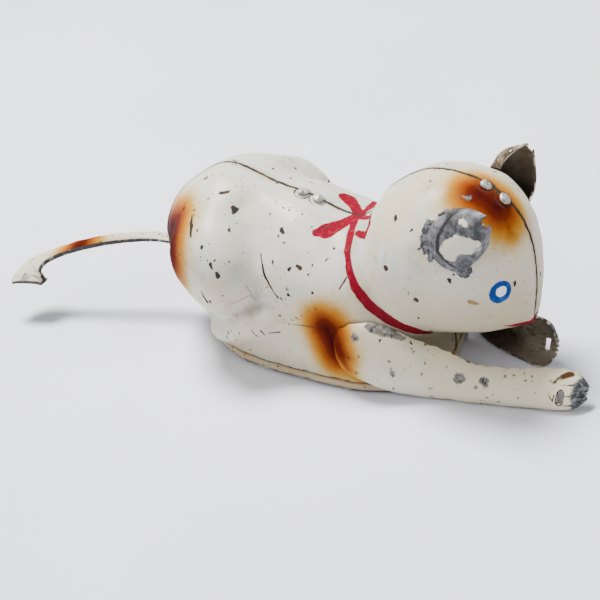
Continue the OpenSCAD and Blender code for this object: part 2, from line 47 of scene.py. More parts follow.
# ---- numbers shared with the CAD
# crest x, crest z, hem x, hem z, hem half-width, widest half-width, place of widest,
# straightness below it, sharpness of the seam ridge
STATIONS = np.array([
    [-15, 2.6, -15, 2.6, 0, 0, 0.5, 0.5, 0.8],
    [-18.8, 6.9, -14, 2.6, 5, 4.4, 0.5, 0.6, 0.8],
    [-24.2, 14.2, -11, 2.6, 7.8, 6.2, 0.46, 0.7, 0.9],
    [-28.6, 24, -5, 2.6, 12.8, 7.8, 0.46, 0.8, 0.9],
    [-23.2, 35.2, 2, 2.6, 16.6, 13.6, 0.45, 0.9, 0.45],
    [-13.6, 43.4, 9, 2.6, 18.6, 19.4, 0.42, 1, 0],
    [-2, 48.5, 16, 2.6, 19.8, 23.4, 0.46, 1, 0],
    [12, 44.4, 25, 2.6, 20.4, 21, 0.54, 1, 0],
    [21, 42.4, 34, 2.6, 20.8, 20.8, 0.52, 1, 0],
    [29, 39.3, 44, 2.6, 20, 20.8, 0.47, 0.9, 0],
    [34, 38.2, 52.5, 2.6, 15, 19.5, 0.46, 0.6, 0],
    [37, 38.9, 57.5, 3.2, 0, 17.2, 0.45, 0.2, 0],
    [40, 40.9, 58.5, 10, 0, 17, 0.47, 0, 0],
    [46, 48, 60, 11.5, 0, 18.3, 0.47, 0, 0],
    [57, 53.5, 65, 12.5, 0, 19.3, 0.45, 0, 0],
    [69, 52.2, 71, 13.5, 0, 17.8, 0.43, 0, 0],
    [77, 46.7, 76, 14.8, 0, 13, 0.42, 0, 0.1],
    [81, 38.5, 79.2, 15.8, 0, 7, 0.5, 0, 0.2],
    [81.6, 28, 80.3, 16.5, 0, 3.4, 0.55, 0, 0.2],
    [80.3, 18.3, 80.3, 18.3, 0, 0, 0.5, 0, 0],
])
# x, lower edge y and z, upper edge y and z, depth of the channel
ARM_RIGHT = np.array([
    [36.4, -21.3, 9, -21.3, 14.5, 0.5],
    [38.5, -21.5, 6.4, -21.1, 18.2, 1.4],
    [43.5, -21.3, 4.4, -19.9, 20, 2.6],
    [49, -20.4, 2.6, -17.2, 18.6, 3.4],
    [55, -17.9, 0.7, -14.6, 14.6, 3.8],
    [62, -15.8, 0, -12.6, 11.6, 4],
    [70, -14.4, 0, -11.8, 8.8, 4],
    [78.5, -12.9, 0, -9.6, 8, 4.2],
    [86, -11.3, 0, -7, 8.2, 4.6],
    [91, -10.2, 0.1, -5.8, 7.8, 4.6],
    [94.3, -9.2, 0.8, -5.8, 6.6, 3.8],
    [96.2, -8.2, 2.4, -6.6, 4.8, 1.6],
])
ARM_LEFT = np.array([
    [36.4, 21.3, 9, 21.3, 14.5, 0.5],
    [38.5, 21.5, 6.4, 21.1, 18.2, 1.4],
    [43.5, 21.3, 4.4, 19.9, 20, 2.6],
    [48.5, 19.9, 2.6, 17.6, 18.6, 3.2],
    [54, 15.9, 1, 14.9, 15.6, 3.6],
    [60, 11.8, 0.1, 12.2, 13.2, 3.8],
    [66.3, 8.2, 0, 10, 12, 4],
    [72.5, 5.8, 0, 8.4, 12, 4.2],
    [77.5, 4, 0, 7.4, 12, 4.4],
    [80.5, 4.2, 0.8, 7, 10.8, 3.6],
    [82.6, 5.4, 3, 6.4, 7.6, 1.4],
])
TAIL_W = 4.6
SPOON_W = 11.5
# x, y, z, width, crown
TAIL = np.array([
    [-15.5, 0, 22.3, TAIL_W, 0.4],
    [-24, -0.3, 22.4, TAIL_W, 0.7],
    [-33, -1.2, 22.5, TAIL_W, 1.3],
    [-43, -4.2, 21.8, 0.93 * TAIL_W, 1.8],
    [-53, -7.3, 20, 0.93 * TAIL_W, 2],
    [-60.6, -10, 18, TAIL_W, 1.9],
    [-65.6, -12.2, 16.2, 0.62 * SPOON_W, 1.8],
    [-68, -14.4, 14.6, 0.92 * SPOON_W, 1.8],
    [-68.7, -16.6, 13, SPOON_W, 1.7],
    [-68.6, -18, 12.1, SPOON_W, 1.4],
    [-68.3, -19.3, 11.3, 0.82 * SPOON_W, 1],
])
TAIL_Z = 22
TABS = [[19.6, 42.9, 10], [23.8, 41.5, 22], [71, 51.2, 38], [75.4, 48.2, 49], [69, 13.1, 188]]
EAR_SEAT = (0.789, 0.294)
EAR_SPREAD = (0.029, 0.103)
GREAT = (24.53, 22)
# where each paw's slot starts
PAW_SLOT = {-1: 90.4, 1: 78.4}
SLOT_W = 1.3


# ---- curves and surfaces, in millimetres
def along(table, t):
    x = t * (len(table) - 1)
    k = np.minimum(np.floor(x).astype(int), len(table) - 2)
    f = (x - k)[..., None]
    a, b = table[np.maximum(k - 1, 0)], table[k]
    c, d = table[k + 1], table[np.minimum(k + 2, len(table) - 1)]
    return 0.5 * (2 * b + (c - a) * f + (2 * a - 5 * b + 4 * c - d) * f**2 + (3 * b - a - 3 * c + d) * f**3)


def hand(side):
    return "right" if side < 0 else "left"


def mix(a, b, t):
    return a + (b - a) * t


def ease(t):
    return t * t * (3 - 2 * t)


def bump(x, lo, hi):
    """0 below lo, 1 above hi, smooth between."""
    return ease(np.clip((x - lo) / (hi - lo), 0, 1))


def unit(v):
    return v / np.maximum(np.linalg.norm(v, axis=-1, keepdims=True), 1e-9)


def skin(t, v):
    """The right half's outer skin."""
    s = along(STATIONS, t)
    c, ridge, k = s[..., 6], np.clip(s[..., 8], 0, 1), np.clip(s[..., 7], 0, 1)
    a = np.pi / 2 * np.minimum(v / c, 1)
    t2 = np.clip((v - c) / (1 - c), 0, 1)
    e, w = np.maximum(s[..., 4], 0), np.maximum(s[..., 5], 0)
    b = np.pi / 2 * t2
    q0 = np.where(v <= c, c * mix(1 - np.cos(a), v / c, ridge), c + (1 - c) * mix(np.sin(b), t2, k))
    q1 = np.where(v <= c, w * np.sin(a), e + (w - e) * mix(np.cos(b), 1 - ease(t2), k))
    x, z = mix(s[..., 0], s[..., 2], q0), mix(s[..., 1], s[..., 3], q0)
    swell = 2.2 * np.exp(-((((x + 3) / 20) ** 2 + ((z - 25) / 19) ** 2) ** 1.5))
    y = -np.maximum(q1 + swell * np.minimum(1, q1 / 8), SEAM_GAP)
    return np.stack([x, y, np.maximum(z, HEM_Z)], -1)


def grid_normals(g):
    du, dv = np.gradient(g, axis=0), np.gradient(g, axis=1)
    return unit(np.cross(du, dv))


def chain_distance(px, pz, chain):
    best = np.full(px.shape, 1e9)
    for (ax, az), (bx, bz) in zip(chain[:-1], chain[1:]):
        ux, uz = bx - ax, bz - az
        h = np.clip(((px - ax) * ux + (pz - az) * uz) / (ux * ux + uz * uz), 0, 1)
        best = np.minimum(best, np.hypot(px - ax - h * ux, pz - az - h * uz))
    return best


def ripple(x, z, seed):
    """Slow unevenness of hand-finished tin, about -1 to 1."""
    s = seed * 1.7
    return (np.sin(0.31 * x + 0.12 * z + s) * np.sin(0.27 * z - 0.09 * x + 2.1 * s)
            + 0.5 * np.sin(0.63 * x - 0.41 * z + 3 * s) * np.sin(0.55 * z + 0.2 * x + s)) / 1.5


def pressed_form(g, side):
    """How far the stamped details stand out of the plain skin: haunch, foot, creases and small dents."""
    x, y, z = g[..., 0], np.abs(g[..., 1]), g[..., 2]
    front = chain_distance(x, z, [(9, 43.5), (12, 38), (14, 33), (14.5, 27), (15.5, 22)])
    under = chain_distance(x, z, [(16.5, 21.3), (13.7, 19.9), (10.5, 18), (5.2, 14.8), (-2, 11), (-9, 9)])
    foot = chain_distance(x, z, [(20, 17), (12.8, 13.6), (3.5, 8.6), (-6, 5)])
    away = bump(y, 5, 12)
    h = 2.9 * np.exp(-((((x - 0.5) / 12.6) ** 2 + ((z - 28.5) / 12.4) ** 2) ** 3)) * away
    h -= np.maximum(1.2 * np.exp(-((front / 2.6) ** 2)), 2.0 * np.exp(-((under / 1.9) ** 2))) * away
    h += 2.0 * np.exp(-((foot / 3.4) ** 2)) * away * (1 - 0.5 * bump(x, 14, 22))
    h += 0.2 * ripple(x, z, side) * bump(y, 1, 5)
    h += (0.24 if side < 0 else -0.3) * np.exp(-((y / 0.9) ** 2))
    return h * bump(z, 2.6, 5) + 0.12 * np.sin(x * 0.7 + side) * (1 - bump(z, 2.6, 4.5))


# ---- mesh helpers
def link_mesh(name, verts, faces, mats, face_mats=None, sharp=40, turned=False):
    bm = bmesh.new()
    made = [bm.verts.new(Vector(v) * MM) for v in verts]
    for k, f in enumerate(faces):
        f = tuple(dict.fromkeys(f))
        if len(f) < 3:
            continue
        face = bm.faces.new([made[i] for i in f])
        face.material_index = face_mats[k] if face_mats is not None else 0
    bmesh.ops.delete(bm, geom=[v for v in bm.verts if not v.link_faces], context="VERTS")
    if not turned:
        bmesh.ops.recalc_face_normals(bm, faces=bm.faces[:])
    if bm.calc_volume(signed=True) < 0:
        bmesh.ops.reverse_faces(bm, faces=bm.faces[:])
    return finish_mesh(name, bm, mats, sharp)


def finish_mesh(name, bm, mats, sharp=40):
    limit = math.radians(sharp)
    for f in bm.faces:
        f.smooth = True
    for e in bm.edges:
        e.smooth = len(e.link_faces) == 2 and e.calc_face_angle(0) < limit
    mesh = bpy.data.meshes.new(name)
    bm.to_mesh(mesh)
    bm.free()
    for m in mats:
        mesh.materials.append(m)
    obj = bpy.data.objects.new(name, mesh)
    bpy.context.scene.collection.objects.link(obj)
    return obj


def sheet_object(name, outer, inner, mats, bulge=0.4, worn=(0, 0, 0)):
    """A closed thin sheet between two grids, with a rounded raw edge. mats: outside, inside, edge.
    worn is how many rows of the outside take the edge's material: at both long sides and at the far end; on
    the tail these dark rows are partly painted shade."""
    n, m, _ = outer.shape
    border = [(0, j) for j in range(m)] + [(i, m - 1) for i in range(1, n)]
    border += [(n - 1, j) for j in range(m - 2, -1, -1)] + [(i, 0) for i in range(n - 2, 0, -1)]
    mid = []
    for i, j in border:
        o, q = outer[i, j], inner[i, j]
        inside = outer[min(max(i, 1), n - 2), min(max(j, 1), m - 2)]
        row = outer[i, min(j + 1, m - 1)] - outer[i, max(j - 1, 0)]
        flat = i in (0, n - 1) and np.linalg.norm(row) < 1e-4
        out = np.zeros(3) if flat else bulge * np.linalg.norm(o - q) * unit(o - inside)
        mid.append((o + q) / 2 + out)
    verts = np.concatenate([outer.reshape(-1, 3), inner.reshape(-1, 3), np.array(mid)])
    total = n * m
    closed = {i for i in (0, n - 1) if np.ptp(outer[i], axis=0).max() < 1e-4}
    first = {i: 2 * total + next(k for k, (bi, _) in enumerate(border) if bi == i) for i in closed}
    index = [[i * m + (0 if i in closed else j) for j in range(m)] for i in range(n)]
    rim = [first.get(i, 2 * total + k) for k, (i, _) in enumerate(border)]
    faces, mat = [], []
    for i in range(n - 1):
        for j in range(m - 1):
            a, b, c, d = index[i][j], index[i][j + 1], index[i + 1][j + 1], index[i + 1][j]
            faces += [(a, b, c, d), (total + d, total + c, total + b, total + a)]
            bare = j < worn[0] or j >= m - 1 - worn[1] or i >= n - 1 - worn[2]
            mat += [2 if bare else 0, 1]
    for k, (i0, j0) in enumerate(border):
        i1, j1 = border[(k + 1) % len(border)]
        a, b, c, d = index[i0][j0], index[i1][j1], rim[k], rim[(k + 1) % len(border)]
        faces += [(a, c, d, b), (c, total + a, total + b, d)]
        mat += [2, 2]
    return link_mesh(name, verts, faces, mats, mat, turned=True)


def box_cutter(lo, hi):
    bm = bmesh.new()
    bmesh.ops.create_cube(bm, size=1)
    lo, hi = np.array(lo, float) * MM, np.array(hi, float) * MM
    for v in bm.verts:
        v.co = Vector((lo + hi) / 2 + np.array(v.co) * (hi - lo))
    return finish_mesh("cutter", bm, [])


def rod_cutter(radius, y0, y1, x, z, segments=48):
    bm = bmesh.new()
    bmesh.ops.create_cone(bm, cap_ends=True, segments=segments, radius1=radius * MM, radius2=radius * MM,
                          depth=(y1 - y0) * MM)
    centre = Vector((x, (y0 + y1) / 2, z)) * MM
    bm.transform(Matrix.Translation(centre) @ Matrix.Rotation(math.pi / 2, 4, "X"))
    return finish_mesh("cutter", bm, [])


def cut(obj, cutters, sharp=40, solver="FAST"):
    """Takes the cutters out of obj, for good."""
    for c in cutters:
        mod = obj.modifiers.new("cut", "BOOLEAN")
        mod.operation, mod.solver, mod.object = "DIFFERENCE", solver, c
        bpy.context.view_layer.update()
        graph = bpy.context.evaluated_depsgraph_get()
        mesh = bpy.data.meshes.new_from_object(obj.evaluated_get(graph))
        obj.modifiers.remove(mod)
        old = obj.data
        obj.data = mesh
        bpy.data.meshes.remove(old)
        data = c.data
        bpy.data.objects.remove(c)
        bpy.data.meshes.remove(data)
    bm = bmesh.new()
    bm.from_mesh(obj.data)
    bmesh.ops.dissolve_degenerate(bm, edges=bm.edges[:], dist=1e-6)
    for e in bm.edges:
        e.smooth = len(e.link_faces) == 2 and e.calc_face_angle(0) < math.radians(sharp)
    bm.to_mesh(obj.data)
    bm.free()
    return obj


# ---- node helpers
class Sock:
    """An output socket that adds, subtracts, multiplies and divides like a number."""

    def __init__(self, g, out):
        self.g, self.out = g, out

    def __add__(self, o):
        return self.g.math("ADD", self, o)

    __radd__ = __add__

    def __sub__(self, o):
        return self.g.math("SUBTRACT", self, o)

    def __rsub__(self, o):
        return self.g.math("SUBTRACT", o, self)

    def __mul__(self, o):
        return self.g.math("MULTIPLY", self, o)

    def __truediv__(self, o):
        return self.g.math("DIVIDE", self, o)


class Graph:
    """A material's node tree, with the point in object space in millimetres as p."""

    def __init__(self, name):
        self.mat = bpy.data.materials.new(name)
        self.mat.use_nodes = True
        self.nt = self.mat.node_tree
        self.nt.nodes.clear()
        self.bsdf = self.new("ShaderNodeBsdfPrincipled")
        out = self.new("ShaderNodeOutputMaterial")
        self.nt.links.new(self.bsdf.outputs[0], out.inputs[0])
        self.p = self.scale(Sock(self, self.new("ShaderNodeTexCoord").outputs["Object"]), 1000)

    def new(self, kind, **props):
        node = self.nt.nodes.new(kind)
        for k, v in props.items():
            setattr(node, k, v)
        return node

    def put(self, socket, value):
        if isinstance(value, Sock):
            self.nt.links.new(value.out, socket)
        elif isinstance(value, (tuple, list)) and socket.type == "RGBA":
            socket.default_value = (*value, 1) if len(value) == 3 else value
        else:
            socket.default_value = value

    def math(self, op, a, b=0.0, c=0.0, clamp=False):
        node = self.new("ShaderNodeMath", operation=op, use_clamp=clamp)
        for k, v in enumerate((a, b, c)):
            self.put(node.inputs[k], v)
        return Sock(self, node.outputs[0])

    def vec(self, op, a, b=None, out=0):
        node = self.new("ShaderNodeVectorMath", operation=op)
        self.put(node.inputs[0], a)
        if b is not None:
            self.put(node.inputs[1], b)
        return Sock(self, node.outputs[out])

    def scale(self, a, s):
        node = self.new("ShaderNodeVectorMath", operation="SCALE")
        self.put(node.inputs[0], a)
        self.put(node.inputs["Scale"], s)
        return Sock(self, node.outputs[0])

    def dist(self, a, b):
        return self.vec("DISTANCE", a, b, "Value")

    def split(self, a):
        node = self.new("ShaderNodeSeparateXYZ")
        self.put(node.inputs[0], a)
        return [Sock(self, o) for o in node.outputs]

    def join(self, x, y, z):
        node = self.new("ShaderNodeCombineXYZ")
        for s, v in zip(node.inputs, (x, y, z)):
            self.put(s, v)
        return Sock(self, node.outputs[0])

    def noise(self, p, size, detail=2.0, rough=0.5, colour=False):
        """Noise about 0.5, with features of about that size in millimetres."""
        node = self.new("ShaderNodeTexNoise")
        self.put(node.inputs["Vector"], p)
        node.inputs["Scale"].default_value = 1 / size
        node.inputs["Detail"].default_value = detail
        node.inputs["Roughness"].default_value = rough
        return Sock(self, node.outputs["Color" if colour else 0])

    def cells(self, p, size):
        """Distance in millimetres to the nearest of scattered points, and a random colour for each."""
        node = self.new("ShaderNodeTexVoronoi")
        self.put(node.inputs["Vector"], p)
        node.inputs["Scale"].default_value = 1 / size
        return Sock(self, node.outputs["Distance"]) * size, Sock(self, node.outputs["Color"])

    def smooth(self, x, zero, one):
        """0 at zero and 1 at one, clamped, smooth between."""
        node = self.new("ShaderNodeMapRange", interpolation_type="SMOOTHSTEP", clamp=True)
        self.put(node.inputs[0], x)
        node.inputs[1].default_value, node.inputs[2].default_value = min(zero, one), max(zero, one)
        node.inputs[3].default_value, node.inputs[4].default_value = (0, 1) if zero < one else (1, 0)
        return Sock(self, node.outputs[0])

    def blend(self, a, b, fac):
        node = self.new("ShaderNodeMix", data_type="RGBA")
        self.put(node.inputs[0], fac)
        self.put(node.inputs[6], a)
        self.put(node.inputs[7], b)
        return Sock(self, node.outputs[2])

    def ramp(self, fac, stops):
        node = self.new("ShaderNodeValToRGB")
        self.put(node.inputs[0], fac)
        points = node.color_ramp.elements
        points[0].position, points[0].color = stops[0][0], (*stops[0][1], 1)
        points[1].position, points[1].color = stops[-1][0], (*stops[-1][1], 1)
        for at, colour in stops[1:-1]:
            points.new(at).color = (*colour, 1)
        return Sock(self, node.outputs[0])

    def least(self, values):
        return functools.reduce(lambda a, b: self.math("MINIMUM", a, b), values)

    def most(self, values):
        return functools.reduce(lambda a, b: self.math("MAXIMUM", a, b), values)

    def stroke(self, p, a, b, ra, rb):
        """Distance outside a brush stroke from a to b whose half-width goes from ra to rb."""
        ab = [q - w for q, w in zip(b, a)]
        length2 = sum(q * q for q in ab)
        pa = self.vec("SUBTRACT", p, a)
        h = self.math("MULTIPLY", self.vec("DOT_PRODUCT", pa, ab, "Value"), 1 / length2, clamp=True)
        d = self.dist(pa, self.scale(ab, h))
        return d - self.math("MULTIPLY_ADD", h, rb - ra, ra)

    def path(self, p, points, best=None):
        """Distance outside strokes through points, each x, y, z, half-width. One point makes a dot."""
        steps = zip(points[:-1], points[1:]) if len(points) > 1 else [(points[0], None)]
        for a, b in steps:
            d = self.stroke(p, a[:3], b[:3], a[3], b[3]) if b else self.dist(p, a[:3]) - a[3]
            best = d if best is None else self.math("MINIMUM", best, d)
        return best

    def paths(self, p, many):
        best = None
        for points in many:
            best = self.path(p, points, best)
        return best

    def spot(self, p, centre, radii):
        """1 at the edge of an oval spot, 0 at its centre."""
        q = self.vec("SUBTRACT", p, centre)
        return self.vec("LENGTH", self.vec("DIVIDE", q, radii), None, "Value")

    def bump(self, height, strength=1.0, distance=0.001):
        node = self.new("ShaderNodeBump")
        node.inputs["Strength"].default_value = strength
        node.inputs["Distance"].default_value = distance
        self.put(node.inputs["Height"], height)
        self.nt.links.new(node.outputs[0], self.bsdf.inputs["Normal"])

    def shade(self, **values):
        names = {"colour": "Base Color", "metal": "Metallic", "rough": "Roughness", "coat": "Coat Weight",
                 "coat_rough": "Coat Roughness", "spec": "Specular IOR Level"}
        for k, v in values.items():
            self.put(self.bsdf.inputs[names[k]], v)
        return self.mat


# ---- paints and metals
COOL = (0.57, 0.56, 0.475)
WARM = (0.57, 0.495, 0.335)
# dark brown for real grime, also used as painted shade in creases and toward the hem
GRIME_AND_SHADE = (0.20, 0.165, 0.115)
DARK = (0.035, 0.03, 0.026)
RED = (0.19, 0.006, 0.018)
ROSE = (0.42, 0.04, 0.06)
# the ribbon's red in painted shade
SHADED_RED = (0.125, 0.008, 0.012)
BLUE = (0.006, 0.042, 0.18)
THIN_BLUE = (0.015, 0.08, 0.28)
PALE_BLUE = (0.62, 0.66, 0.76)
WHITE = (0.7, 0.72, 0.72)
# painted shade for the chest under the chin
CHEST_SHADE = (0.1, 0.08, 0.055)
# yellowed cream, dark enough to serve also as painted shade under the head
AGED_AND_SHADED = (0.39, 0.33, 0.22)
REDDISH = (0.33, 0.1, 0.075)
FLAKE = (0.25, 0.155, 0.07)
RUST = (0.085, 0.04, 0.018)
# a paler cream that paints light onto the forearm toward the paw
ARM_PAINTED_LIGHT = (0.8, 0.74, 0.56)
RUST_SPOT = (0.06, 0.036, 0.02)
DULL_TIN = (0.04, 0.04, 0.043)
RUBBED_TIN = (0.2, 0.2, 0.205)
# a sprayed patch from its middle outward
SPRAY = [(0.0, (0.04, 0.004, 0.004)), (0.26, (0.1, 0.013, 0.004)), (0.46, (0.25, 0.06, 0.006)),
         (0.68, (0.42, 0.19, 0.02)), (1.0, (0.52, 0.38, 0.14))]


def warp(g, amount, size, p=None):
    """The point, pushed about by noise, so that edges come out ragged."""
    p = p or g.p
    shift = g.vec("SUBTRACT", g.noise(p, size, 2, 0.6, colour=True), (0.5, 0.5, 0.5))
    return g.vec("ADD", p, g.scale(shift, amount))


def enamel(g, warmth):
    """Old cream enamel: cooler where clean, yellow where aged, with faint brush cloudiness."""
    cloud = g.noise(g.p, 26, 3, 0.55)
    fine = g.noise(g.p, 2.4, 3, 0.6)
    age = g.smooth(cloud + (fine - 0.5) * 0.25 + warmth, 0.38, 0.72)
    return g.blend(COOL, WARM, age)


def specks(g, p, size, keep, biggest):
    """Mask of scattered chips: one cell in 1/keep holds one, no wider than biggest."""
    d, colour = g.cells(p, size)
    r, s, _ = g.split(colour)
    radius = g.math("MULTIPLY_ADD", s, 0.75 * biggest, 0.25 * biggest)
    return g.smooth(d - radius, 0.06, -0.06) * g.math("LESS_THAN", r, keep)


def chipped(g, crowd):
    """All the small chips of the enamel. crowd is 0 to 1, where more of them lie."""
    ragged = warp(g, 1.3, 0.8)
    patchy = g.smooth(g.noise(g.p, 9, 2), 0.43, 0.53)
    worn = specks(g, ragged, 1.3, 0.4, 0.3) * patchy
    worn = g.math("MAXIMUM", worn, specks(g, ragged, 2.3, 0.8, 0.5) * patchy) * crowd
    few = specks(g, g.vec("MULTIPLY", ragged, (1.0, 1.0, 0.5)), 3.6, 0.6, 0.55)
    return g.math("MAXIMUM", worn, few)


def airbrush(g, colour, d):
    """A soft sprayed patch, from maroon through rust and amber out to the cream."""
    cloudy = d + (g.noise(g.p, 3.5, 3, 0.6) - 0.5) * 0.16
    tint = g.ramp(cloudy, SPRAY)
    return g.blend(colour, tint, g.smooth(cloudy, 1.28, 0.66))


# blends toward that dark brown: real grime in some places, painted shade in others
def grime_and_shade(g, colour, mask):
    return g.blend(colour, GRIME_AND_SHADE, mask)


def settle(g, colour, chips, bare, gloss=0.3, deep=True):
    """Joins paint, dark chips and bare tin into the finished surface. The darker, the duller.
    deep: the chips and the bare tin lie lower than the paint."""
    grain = g.noise(g.p, 0.55, 3, 0.6)
    chip_colour = g.blend(DARK, RUST_SPOT, g.smooth(g.noise(g.p, 4, 1), 0.5, 0.62))
    tin_colour = g.blend(DULL_TIN, RUBBED_TIN, g.smooth(g.noise(g.p, 1.1, 4, 0.75), 0.4, 0.64))
    colour = g.blend(colour, chip_colour, chips)
    colour = g.blend(colour, tin_colour, bare)
    gone = g.math("MAXIMUM", chips, bare)
    smudge = g.noise(g.p, 7, 3, 0.6)
    rough = gloss + smudge * 0.22 + gone * 0.2
    peel = g.noise(g.p, 1.1, 2, 0.5) * 0.016 + grain * 0.006
    if deep:
        peel = peel - gone * 0.05
    g.bump(peel)
    sheen = g.math("MULTIPLY", colour, 0.2)
    return g.shade(colour=colour, rough=rough, metal=bare * 0.3, spec=sheen * 0.5, coat=sheen,
                   coat_rough=0.16)


# painted strokes: rows of x, distance from the seam plane, z and half-width, in millimetres
NECKBAND = [(34.6, 0, 38.3, 1.3), (36.7, 7.7, 36.6, 1.1), (37.7, 11.5, 34.4, 1.0), (39.6, 14.8, 31, 1.0),
            (42, 16.7, 27.6, 1.2), (45.6, 17.1, 23.8, 1.4), (49.5, 16.4, 20.4, 1.5),
            (54.3, 13.5, 16.4, 1.2), (57.4, 9.5, 13.8, 0.5)]
BOW = {
    -1: [
        [(34.5, 0.5, 38.5, 1.3), (33, 4.5, 38, 1.6), (30.2, 8.7, 37.1, 2.3), (28.4, 10.2, 37.2, 1.2)],
        [(36.5, 1.5, 38.8, 1.0), (42.6, 6.9, 42.6, 0.9), (44.2, 9.6, 41.6, 1.0), (42.4, 10.3, 38.8, 1.0),
         (38.6, 7.4, 37.4, 0.9)],
        [(37, 0, 39.2, 0.8), (44, 0, 46, 0.7), (48, 0, 49.6, 0.3)],
    ],
    1: [
        [(34.5, 0.5, 38.5, 1.2), (31, 4, 38.8, 1.7), (28, 6.2, 39, 2.5)],
        [(35.5, 3, 38.2, 1.0), (34.5, 8.6, 37, 1.5), (33.4, 11.4, 35.6, 1.7)],
    ],
}
LIPS = [(76, 7.4, 18.2, 0.2), (78, 4.6, 17.4, 1.1), (80.3, 0.6, 16.6, 1.3)]
# scratches and large chips, as seen square from the side: rows of x, z and half-width
MARKS = {
    -1: [
        [(16, 33.5, 0.16), (18, 29, 0.3), (21, 24.5, 0.12)], [(19.5, 26.5, 0.1), (21.5, 24, 0.22)],
        [(38.5, 28, 0.2), (39.5, 30, 0.2)], [(14, 15, 0.12), (15, 13, 0.22)],
        [(16.5, 15, 0.25), (17, 13.5, 0.12)], [(18, 14, 0.15), (20.5, 14, 0.25)],
        [(24.5, 16.5, 0.12), (31, 17, 0.15)], [(-3, 42, 0.15), (-1, 40.5, 0.45), (0, 39, 0.2)],
        [(4, 37.5, 0.45)], [(6, 43, 0.25), (7, 42, 0.35)], [(1.5, 45.5, 0.15), (3.5, 45.5, 0.25)],
        [(7, 34, 0.4), (7.5, 33, 0.2)], [(8.5, 32, 0.35), (9, 31, 0.5)], [(3, 26, 0.2), (4, 23, 0.5)],
        [(20, 38.5, 0.5), (21, 38, 0.2)], [(24.5, 31, 0.4), (25, 31.5, 0.2)],
        [(26.5, 32, 0.35), (27.5, 31.5, 0.5)], [(24.5, 25, 0.45)], [(31.5, 26.5, 0.35)],
        [(52, 35.5, 0.75)], [(59.5, 28.5, 0.7)], [(53.5, 46.5, 0.6)],
    ],
    1: [
        [(4, 30, 0.15), (12, 34, 0.28), (15, 35, 0.1)], [(50, 20, 0.2), (54, 23, 0.25)],
        [(62, 30, 0.9)], [(28, 30, 0.7)],
    ],
}
GRAZE = [[(9, 22.5, 0.05), (14, 24, 0.1)], [(13.5, 26.5, 0.08), (15, 22, 0.08)]]


def from_side(rows):
    """Strokes given as x, z and half-width, laid in the seam plane."""
    return [[(x, 0, z, r) for x, z, r in row] for row in rows]


def body_grime_and_shade(g, colour, m, low):
    """Mottled grime all over; painted shade with a brownish stain toward the hem; painted shade along the
    seam, in the haunch's fold and in the neck's crease; a chest darkened with painted shade and a yellowed
    cheek, also darkened with painted shade.
    """
    x, ay, z = g.split(m)
    colour = grime_and_shade(g, colour, g.smooth(g.noise(g.p, 11, 4, 0.7), 0.5, 0.75) * 0.3)
    # painted shade with a brownish stain, darker toward the hem
    colour = grime_and_shade(g, colour, g.smooth(z + low * 7, 12, 4) * 0.34)
    # painted shade along the seam
    colour = grime_and_shade(g, colour, g.smooth(ay + low * 4, 4.6, 1.4) * 0.34)
    # painted shade in the fold under the haunch
    fold = g.path(m, [(15.5, 21.8, 24, 0.2), (14.8, 22.4, 20.6, 0.8), (5, 21.5, 14.8, 0.4),
                      (-4, 18.5, 10.5, 0.2)])
    colour = grime_and_shade(g, colour, g.smooth(fold + low * 2.4, 3.2, 0.9) * 0.42)
    # painted shade in the crease of the neck
    neck = g.stroke(m, (36, 4, 38), (46, 18, 22), 2.5, 2.5)
    colour = grime_and_shade(g, colour, g.smooth(neck + low * 3, 4.5, 0.5) * 0.3)
    # the chest front under the chin and between the arms, darkened with painted shade
    chest = g.smooth(x + low * 4, 50, 55) * g.smooth(z + low * 2, 17.5, 13.5)
    colour = g.blend(colour, CHEST_SHADE, chest * 0.85)
    # the cheek and underside of the head: yellowed, and darkened with painted shade
    cheek = g.smooth(x, 46, 60) * g.smooth(z + low * 4, 41, 25)
    return g.blend(colour, AGED_AND_SHADED, cheek * 0.8)


def body_patches(g, colour, m):
    """The sprayed patches: rump, shoulders and brow."""
    rump = g.path(g.p, [(-28, 0, 24, 1.5), (-11.5, -18.3, 33, 4.5)])
    colour = airbrush(g, colour, rump / 10.5)
    shoulder = g.path(m, [(34.4, 20.8, 17.2, 0.3), (36.4, 20.8, 10.5, 0.3), (42, 20.8, 5, -4.5)])
    colour = airbrush(g, colour, shoulder / 9)
    brow = g.path(g.p, [(71, -4.6, 50.8, 0), (75.6, -4.2, 47.4, 0), (78.5, -5.5, 42.8, -4.5)])
    return airbrush(g, colour, brow / 10)


def body_ribbon(g, colour, brushed, thin, z, side):
    """The red band round the neck, its bow and the lips, with painted shade making the band darker lower
    down, toward the chest.
    """
    ribbon = g.paths(brushed, [NECKBAND] + BOW[side])
    red = g.blend(RED, ROSE, thin * 0.4)
    # painted shade: the ribbon darker lower down, toward the chest
    red = g.blend(red, SHADED_RED, g.smooth(z, 34, 18) * 0.8)
    colour = g.blend(colour, red, g.smooth(ribbon, 0.14, -0.12))
    return g.blend(colour, RED, g.smooth(g.path(brushed, LIPS), 0.14, -0.1))


def body_eye(g, colour, brushed, thin):
    """A blue ring with a white middle."""
    ring = g.smooth(g.dist(brushed, (77.8, 11.2, 29.7)), 3.05, 2.8)
    colour = g.blend(colour, g.blend(BLUE, THIN_BLUE, thin), ring)
    white = g.smooth(g.dist(brushed, (77.9, 11.0, 29.8)), 1.5, 1.25)
    return g.blend(colour, WHITE, white)


def cheek_stain(g, colour, brushed, low):
    """A pale bluish smear behind the near cheek."""
    smudge = g.smooth(g.spot(brushed, (51.5, 18, 36.5), (3.2, 6, 6.5)), 1, 0.3)
    return g.blend(colour, PALE_BLUE, smudge * g.smooth(low, 0.4, 0.6) * 0.7)


